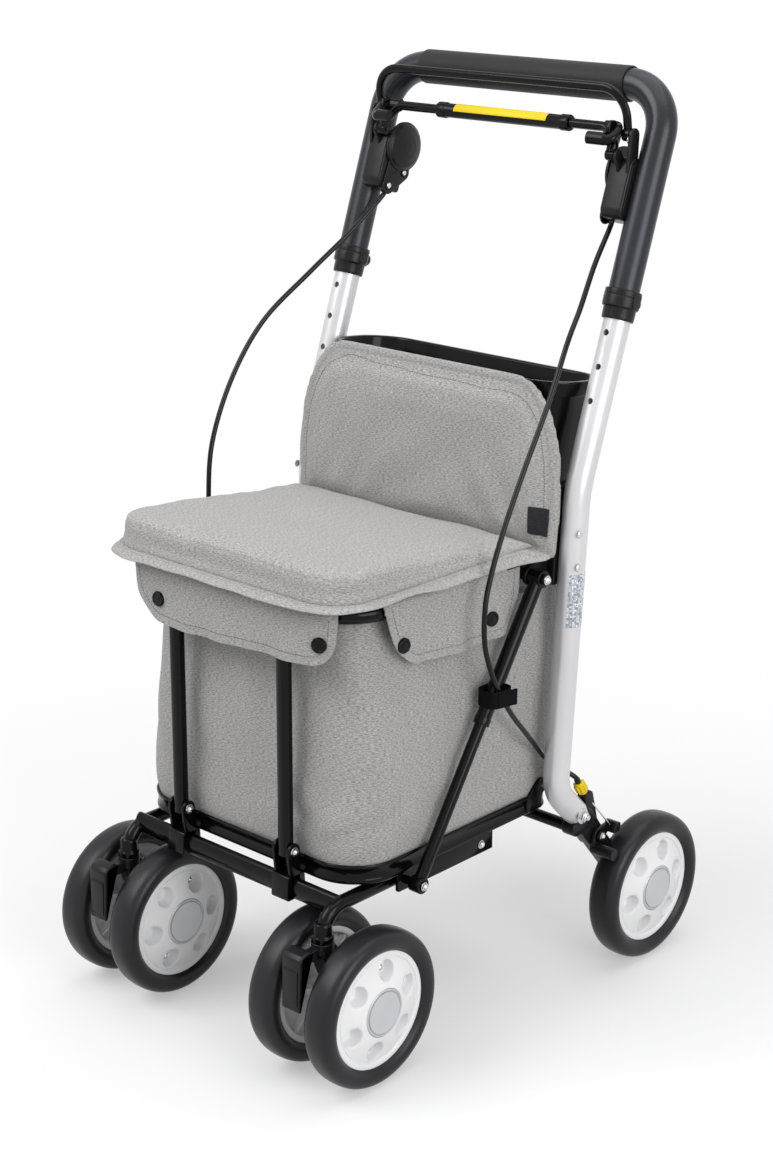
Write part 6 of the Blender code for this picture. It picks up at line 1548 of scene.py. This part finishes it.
def build_braces():
    """Each stay's tube and rod with their eyes; the band round the right one as rings, with its tail a curved sheet."""
    length = float(np.linalg.norm(np.subtract(BRACE_FOOT, BRACE_TOP)))
    for side, sign in SIDES:
        x = sign * BRACE_X
        tube = Form().rod(on_brace(0.0, x), on_brace(0.145, x), 0.0072, 36, edge=0.0008)
        tube.pin(BRACE_TOP, x - 0.0075, x + 0.0075, 0.0085, 36, edge=0.001)
        tube.rod(on_brace(0.138, x), on_brace(0.1456, x), 0.0078, 36)
        tube.make(f"stay_tube_{side}", f"brace_{side}", "gloss_black_paint", f"brace_tube_{side}")
        body = f"brace_rod_{side}_body"
        rod = Form().rod(on_brace(0.014, x), on_brace(length, x), 0.0057, 32)
        rod.pin(BRACE_FOOT, x - 0.0063, x + 0.0063, 0.0078, 32, edge=0.001)
        rod.pin(BRACE_FOOT, x, x + sign * 0.0075, 0.0048)
        rod.make(f"stay_rod_{side}", body, "gloss_black_paint", f"brace_rod_{side}")
        nut = Form().bolt(yz(BRACE_FOOT, x + sign * 0.0072), (sign, 0, 0), 0.0036, 0.003)
        nut.make(f"stay_foot_nut_{side}", body, "chrome", sharp=30)
    _, y_middle, z_middle = on_brace(0.116, 0)
    inner, outer = BRACE_X - 0.0075, BRACE_X + 0.0131
    half_y = 0.0072 / 0.86 + 0.0047
    rows = []
    for z, grow in mm([(-8, 0.1), (-8.3, 0.7), (-7.8, 1.3), (7.8, 1.3), (8.3, 0.7), (8, 0.1)]):
        plan = box_outline((outer - inner) / 2 + grow, -half_y - grow, half_y + grow, 0.0062 + grow, 8)
        plan = resample_ring(plan, 72)
        rows.append(np.column_stack([plan + ((inner + outer) / 2, y_middle), np.full(72, z_middle + z)]))
    band = Form().grid(np.array(rows), True, ring=True)
    curve = spline((outer, y_middle) + mm([(1, -8), (3, 4), (5.2, 13)]), 0.0015)
    way = unit(np.gradient(curve, axis=0))
    aside = np.stack([way[:, 1], -way[:, 0]], 1)
    tail = [
        np.column_stack([curve + aside * out, np.full(len(curve), z_middle + z)])
        for out, z in mm([(0, -7.6), (1, -7.8), (1, 7.8), (0, 7.6)])
    ]
    band.grid(np.array(tail).transpose(1, 0, 2), True, (True, True))
    band.make("cable_band", "brace_r", "hook_and_loop", "cable_strap", sharp=45)


def adjuster_end(share, x):
    """The adjuster barrel's foot at share 0 and its head at share 1, back up the cable's direction from its seat."""
    direction = unit((0.0, 0.56, -0.8285))
    return yz(ADJUSTER_SEAT, x) - direction * (0.0068 + share * 0.015)


def build_rear_fittings():
    """Each side's foot, brake crank and adjuster barrel: plates between two discs, rods, turned parts and nuts."""
    profile = turned([(0, 0), (0, 4.6), (2.2, 4.8), (2.6, 5.3), (12.6, 5.3), (13.1, 4.4), (15, 4), (15, 0)], 0.3, 3)
    pad = cut([(136.2, 144), (140.5, 155.5), (148, 153), (146.5, 144)], 1.8, 4)
    neck, shoe_rod = (0.1098, 0.1637), (0.122, 0.13)
    for side, sign in SIDES:
        x, outwards = sign * UPRIGHT_X, (sign, 0, 0)
        foot = Form()
        for a, ra, b, rb, half, bevel in (
            (neck, 0.0125, BRAKE_POST, 0.012, 0.007, 0.0016), (BRAKE_POST, 0.0105, REAR_AXLE, 0.012, 0.006, 0.0014),
            (neck, 0.0115, LOW_CROSS, 0.008, 0.0075, 0.0014),
            (BRAKE_POST, 0.0085, ADJUSTER_SEAT, 0.0065, 0.0055, 0.0014),
        ):
            foot.strap(a, ra, b, rb, plane_yz, x - half, x + half, bevel, 16)
        root = yz(FOOT_ROOT, x)
        up = unit(yz(FOOT_BEND, x) - root)
        foot.rod(root - up * 0.008, root + up * 0.02, 0.0109, 36)
        foot.pin(REAR_AXLE, x, sign * (REAR_WHEEL_X - 0.0133), 0.009, 32)
        foot.pin(REAR_AXLE, x, sign * (REAR_WHEEL_X + 0.0117), 0.004, 20)
        foot.pin(BRAKE_POST, x, x + sign * 0.0138, 0.003, 20)
        foot.lathe(washer(0.005, 0.003, 0.0007), yz(BRAKE_POST, x + sign * 0.0123), outwards, 28)
        foot.make(f"rear_foot_{side}", "rear_frame", "moulded_black", f"rear_fitting_{side}")
        nuts = Form()
        nuts.bolt(yz(BRAKE_POST, x + sign * 0.0153), outwards, 0.0034, 0.0026)
        nuts.bolt(yz(REAR_AXLE, x - sign * 0.007), (-sign, 0, 0), 0.0056, 0.0046)
        through = yz((0.096, 0.174), x + sign * 0.0126)
        nuts.lathe(washer(0.0078, 0.0012, 0.0003, 2), through, outwards, 28)
        nuts.bolt(through + sign * 0.0012 * ACROSS, outwards, 0.0056, 0.005)
        nuts.rod(through + sign * 0.004 * ACROSS, through + sign * 0.0082 * ACROSS, 0.0026, 16, edge=0.0005)
        nuts.make(f"rear_foot_nuts_{side}", "rear_frame", "chrome", sharp=30)
        arm = Form()
        near, far = x + sign * 0.0076, x + sign * 0.0119
        arm.strap(BRAKE_POST, 0.0075, (0.141, 0.148), 0.0042, plane_yz, near, far, 0.0008, 14)
        arm.strap(BRAKE_POST, 0.007, shoe_rod, 0.0055, plane_yz, near, far, 0.0008, 14)
        arm.pin(shoe_rod, *sorted((near, sign * (REAR_WHEEL_X + 0.009))), 0.006, 32, mark=1)
        low, high = sorted((near, x + sign * 0.0216))
        arm.plate(pad, plane_yz, low, high, 0.001)
        for k in range(4):
            arm.pin((0.1368 + 0.0011 * k, 0.1462 + 0.0026 * k), low + 0.0012, high - 0.0012, 0.0009, 10, edge=0.0003)
        arm.make(f"brake_crank_{side}", f"brake_{side}", ["moulded_black", "satin_silver"], f"brake_arm_{side}")
        start, axis = adjuster_end(0, x), unit(adjuster_end(1, x) - adjuster_end(0, x))
        barrel = Form().lathe(profile, start, axis, 40)
        for angle in all_round(9):
            spoke = (ACROSS * math.cos(angle) + np.cross(axis, ACROSS) * math.sin(angle)) * 0.0052
            barrel.rod(start + axis * 0.0028 + spoke, start + axis * 0.0125 + spoke, 0.0012, 12, edge=0.0003)
        barrel.make(f"cable_barrel_{side}", "rear_frame", "yellow_plastic", f"cable_adjuster_{side}")
        wire = resample([start, yz((0.14, 0.1495), x + sign * 0.015)], 0.004)
        Form().hose(wire, 0.0008, 10).make(f"brake_wire_{side}", "rear_frame", "chrome")


def build_brackets():
    """Each seat mount's plates, pins and turned collar, and its nuts."""
    grip = cut([(69.2, 409), (98.5, 409), (104.7, 504), (72.6, 504)], 4, 6)
    for side, sign in SIDES:
        inner, outwards = sign * 0.1475, (sign, 0, 0)
        bracket = Form().strap(BRACE_TOP, 0.009, (0.083, 0.4265), 0.014, plane_yz, inner, sign * 0.1512, 0.0008, 16)
        bracket.plate(grip, plane_yz, inner, sign * 0.1596, 0.0016)
        bracket.pin(SEAT_PIVOT, sign * 0.149, sign * 0.1385, 0.003, 20)
        bracket.pin(BRACE_TOP, sign * 0.149, sign * 0.1685, 0.003, 20)
        bracket.lathe(washer(0.0052, 0.003, 0.0007), yz(BRACE_TOP, sign * 0.1668), outwards, 28)
        bracket.make(f"seat_mount_{side}", "rear_frame", "moulded_black", f"seat_bracket_{side}")
        nuts = Form().bolt(yz(BRACE_TOP, sign * 0.1698), outwards, 0.004, 0.003)
        nuts.bolt(yz(SEAT_PIVOT, sign * 0.1385), (-sign, 0, 0), 0.0036, 0.0024)
        nuts.make(f"seat_mount_nuts_{side}", "rear_frame", "chrome", sharp=30)


# Each cable's route from its housing down to its adjuster: (outwards from the upright, y, z)
CABLE_ROUTES = {
    "r": mm([
        (-23, 133, 700), (-15, 103, 665), (-6, 74, 639), (-1, 44, 592), (-1.5, 7, 527), (-2, -19, 476),
        (-1.5, -36, 434), (0, -42, 408), (0, -40, 379), (-0.5, -28, 348), (-0.7, -15, 325.5), (-3, 5, 300),
        (-6.5, 27, 277.5), (-12, 50, 255.5), (-17.5, 72, 235), (-15, 87, 222),
    ]),
    "l": mm([
        (-15, 125, 695), (0, 85, 660), (16, 35, 616), (23, -2, 564), (23, -30, 506), (20, -40, 455), (15, -42, 408),
        (8, -37, 370), (2, -20, 335), (-6, 0, 306), (-14, 23, 276), (-22, 56, 244), (-22, 82, 230), (-12, 96, 220),
    ]),
}


def build_cables():
    """Each cable: a round tube along a smooth curve through its route, with a turned collar at both ends."""
    for side, sign in SIDES:
        x = sign * UPRIGHT_X
        start, finish_at = on_leg(0.25, 0.005, sign * 0.142), adjuster_end(1, x)
        back = unit(finish_at - adjuster_end(0, x))
        end = finish_at + back * 0.0003
        route = CABLE_ROUTES[side] * (sign, 1, 1) + (x, 0, 0)
        path = spline(np.array([start, start - LEG_UP * 0.008, *route, end + back * 0.008, end]), 0.005)
        cable = Form().hose(path, 0.0025, 18)
        for at, way in ((start, -LEG_UP), (end, back)):
            cable.lathe(turned([(0, 0), (0, 3.1), (4, 3), (5, 2.4)], 0.4, 2), at, way, 24)
        piece = cable.make(f"outer_cable_{side}", None, "cable_black", f"brake_cable_{side}")
        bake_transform(piece)


# Stage

def build_stage(settings):
    """The camera at the photograph's place, a world and a floor that show white to it, and three square lamps."""
    scene = bpy.context.scene
    scene.view_settings.view_transform = "Standard"
    az, el, roll = math.radians(42.4638), math.radians(18.4407), math.radians(0.2411)
    back = np.array((math.sin(az) * math.cos(el), -math.cos(az) * math.cos(el), math.sin(el)))
    right = np.array((math.cos(az), math.sin(az), 0.0))
    up = np.cross(back, right)
    lens = bpy.data.cameras.new("camera")
    lens.lens, lens.sensor_fit, lens.sensor_height, lens.sensor_width = 67.64, "VERTICAL", 36.0, 36.0 * 773 / 1176
    lens.clip_start, lens.clip_end = 0.05, 60
    scene.camera = placed("camera", lens)
    matrix = np.eye(4)
    matrix[:3] = np.stack([
        math.cos(roll) * right + math.sin(roll) * up, -math.sin(roll) * right + math.cos(roll) * up, back,
        (1.3627, -1.475, 1.0574),
    ], 1)
    scene.camera.matrix_world = Matrix(matrix.tolist())

    scene.world = bpy.data.worlds.new("studio")
    net = Net(scene.world)
    rays = net.node("ShaderNodeLightPath")
    camera, glossy, through = [net.out(rays, f"Is {kind} Ray") for kind in ("Camera", "Glossy", "Transmission")]
    seen = camera.maths("MAXIMUM", camera, camera.maths("MAXIMUM", glossy, through))
    dim, white = [
        net.out(net.node("ShaderNodeBackground", None, {0: (1, 1, 1, 1), 1: power})) for power in (settings.sky, 1.0)
    ]
    mixed = net.out(net.node("ShaderNodeMixShader", None, {0: seen, 1: dim, 2: white}))
    net.node("ShaderNodeOutputWorld", None, {0: mixed})

    net = Net(bpy.data.materials.new("studio_floor"))
    rays = net.node("ShaderNodeLightPath")
    camera, glossy = net.out(rays, "Is Camera Ray"), net.out(rays, "Is Glossy Ray")
    parts = net.node("ShaderNodeSeparateXYZ", None, {0: net.place()})
    away = (net.out(parts, 0) ** 2.0 + (net.out(parts, 1) + 0.03) ** 2.0) ** 0.5
    far = away.between(settings.floor_near, settings.floor_far)
    shown = camera.maths("MAXIMUM", camera, glossy)
    grey = net.blend(shown, (0.55, 0.55, 0.55, 1), (0.8, 0.8, 0.802, 1))
    matte = net.out(net.node("ShaderNodeBsdfDiffuse", None, {0: grey}))
    glow = net.out(net.node("ShaderNodeEmission", None, {0: (1, 1, 1, 1), 1: 1.0}))
    mixed = net.out(net.node("ShaderNodeMixShader", None, {0: (0.38 + far * 0.62) * shown, 1: matte, 2: glow}))
    net.node("ShaderNodeOutputMaterial", None, {0: mixed})
    mesh = bpy.data.meshes.new("studio_floor")
    w = all_round(64)
    mesh.from_pydata(np.stack([30 * np.cos(w), 30 * np.sin(w), 0 * w], 1).tolist(), [], [tuple(range(64))])
    mesh.materials.append(net.owner)
    placed("studio_floor", mesh)

    for name, spot, size, power in (
        ("key_light", (-1.1, -1.9, 2.6), 1.8, settings.key), ("top_light", (0.2, 0.3, 3.0), 2.6, settings.top),
        ("side_light", (2.6, -0.5, 1.3), 1.6, settings.side),
    ):
        light = bpy.data.lights.new(name, "AREA")
        light.shape, light.size, light.energy = "SQUARE", size, power
        lamp = placed(name, light)
        lamp.location = spot
        lamp.rotation_euler = (Vector(spot) - Vector((0, 0, 0.35))).to_track_quat("Z", "Y").to_euler()


# Settings

class WheelSettings(bpy.types.PropertyGroup):
    pocket_radius: FloatProperty(
        name="Pocket radius", description="Of each of a rim's six pockets, at its mouth", default=0.0102, unit="LENGTH")
    pocket_depth: FloatProperty(
        name="Pocket depth", description="From the rim's face to a pocket's floor", default=0.0112, unit="LENGTH")


class FabricSettings(bpy.types.PropertyGroup):
    pale: FloatVectorProperty(
        name="Pale yarn", description="Colour of the weave's pale yarn", default=tint(192, 191, 190)[:3], size=3,
        subtype="COLOR")
    deep: FloatVectorProperty(
        name="Deep yarn", description="Colour of the weave's deep yarn", default=tint(116, 115, 114)[:3], size=3,
        subtype="COLOR")
    thread: FloatProperty(
        name="Thread", description="Distance between two threads", default=0.0008, precision=5, unit="LENGTH")
    air: FloatProperty(name="Air", description="Pressure that fills the pads", default=4.0)
    swell: FloatProperty(
        name="Swell", description="The most that a pad's skin moves when it is filled", default=0.004, unit="LENGTH")


class StageSettings(bpy.types.PropertyGroup):
    sky: FloatProperty(name="Sky", description="Light from all round", default=0.52, min=0)
    key: FloatProperty(name="Key", description="Power of the lamp at the left front, in watts", default=58.0, min=0)
    top: FloatProperty(name="Top", description="Power of the lamp overhead, in watts", default=34.0, min=0)
    side: FloatProperty(name="Side", description="Power of the lamp at the right, in watts", default=38.0, min=0)
    floor_near: FloatProperty(
        name="Floor shade", description="Where the floor starts to fade to white", default=0.35, unit="LENGTH")
    floor_far: FloatProperty(name="Floor white", description="Where the floor is white", default=1.1, unit="LENGTH")


class RollatorOperator:
    bl_options = {"REGISTER", "UNDO"}


class ROLLATOR_OT_stage(RollatorOperator, bpy.types.Operator):
    """Sets the floor, the lamps and the camera"""
    bl_idname = "rollator.stage"
    bl_label = "Stage"

    def execute(self, context):
        build_stage(context.scene.rollator_stage)
        return {"FINISHED"}


class ROLLATOR_OT_wheels(RollatorOperator, bpy.types.Operator):
    """Makes the six wheels: tyre, pocketed rim, turned cap and nuts"""
    bl_idname = "rollator.wheels"
    bl_label = "Wheels"

    def execute(self, context):
        sizes = context.scene.rollator_wheels
        for side, sign in SIDES:
            build_wheel("rear", side, yz(REAR_AXLE, sign * REAR_WHEEL_X), sign, 9.0, sizes)
            turn = 19.0 if sign > 0 else 4.0
            for outward, place in ((sign, "out"), (-sign, "in")):
                centre = yz(FRONT_AXLE, sign * CASTER_X + outward * TWIN_GAP / 2)
                build_wheel("front", f"{side}_{place}", centre, outward, turn, sizes)
        return {"FINISHED"}


def plain_operator(label, build, group=None):
    """An operator class that calls one build function, with its settings group where it has one, and says its text."""
    name = build.__name__.removeprefix("build_")

    def execute(self, context):
        build(getattr(context.scene, group)) if group else build()
        return {"FINISHED"}

    return type(
        f"ROLLATOR_OT_{name}", (RollatorOperator, bpy.types.Operator),
        {"bl_idname": f"rollator.{name}", "bl_label": label, "__doc__": " ".join(build.__doc__.split()),
         "execute": execute},
    )


OPERATORS = (ROLLATOR_OT_stage, ROLLATOR_OT_wheels, *(plain_operator(*row) for row in (
    ("Uprights", build_uprights), ("Handle", build_handle), ("Brake gear", build_brake_gear),
    ("Seat ring", build_seat_frame), ("Seat pad", build_cushion, "rollator_fabric"),
    ("Back pad", build_backrest, "rollator_fabric"), ("Rear bin", build_basket), ("Bag", build_bag),
    ("Skirts", build_flaps), ("Front posts", build_front_bars), ("Base", build_base), ("Casters", build_casters),
    ("Stays", build_braces), ("Rear feet", build_rear_fittings), ("Seat mounts", build_brackets),
    ("Cables", build_cables),
)))


class ROLLATOR_PT_panel(bpy.types.Panel):
    """Lists the pieces and their settings"""
    bl_label = "Shopping rollator"
    bl_idname = "ROLLATOR_PT_panel"
    bl_space_type = "VIEW_3D"
    bl_region_type = "UI"
    bl_category = "Rollator"

    def draw(self, context):
        for operator in OPERATORS:
            self.layout.operator(operator.bl_idname)
        for group in GROUPS:
            box = self.layout.box()
            settings = getattr(context.scene, group)
            for name in settings.bl_rna.properties.keys():
                if name not in ("rna_type", "name"):
                    box.prop(settings, name)


GROUPS = {"rollator_wheels": WheelSettings, "rollator_fabric": FabricSettings, "rollator_stage": StageSettings}


def register():
    """Adds the settings, the operators and the panel."""
    for name, group in GROUPS.items():
        bpy.utils.register_class(group)
        setattr(bpy.types.Scene, name, PointerProperty(type=group))
    for operator in OPERATORS:
        bpy.utils.register_class(operator)
    bpy.utils.register_class(ROLLATOR_PT_panel)


def unregister():
    """Takes them away again."""
    bpy.utils.unregister_class(ROLLATOR_PT_panel)
    for operator in reversed(OPERATORS):
        bpy.utils.unregister_class(operator)
    for name, group in GROUPS.items():
        delattr(bpy.types.Scene, name)
        bpy.utils.unregister_class(group)


def main():
    """Runs every operator in order, and writes the two boxes."""
    register()
    for operator in OPERATORS:
        getattr(bpy.ops.rollator, operator.bl_idname.split(".")[1])()
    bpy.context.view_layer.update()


if __name__ == "__main__":
    main()
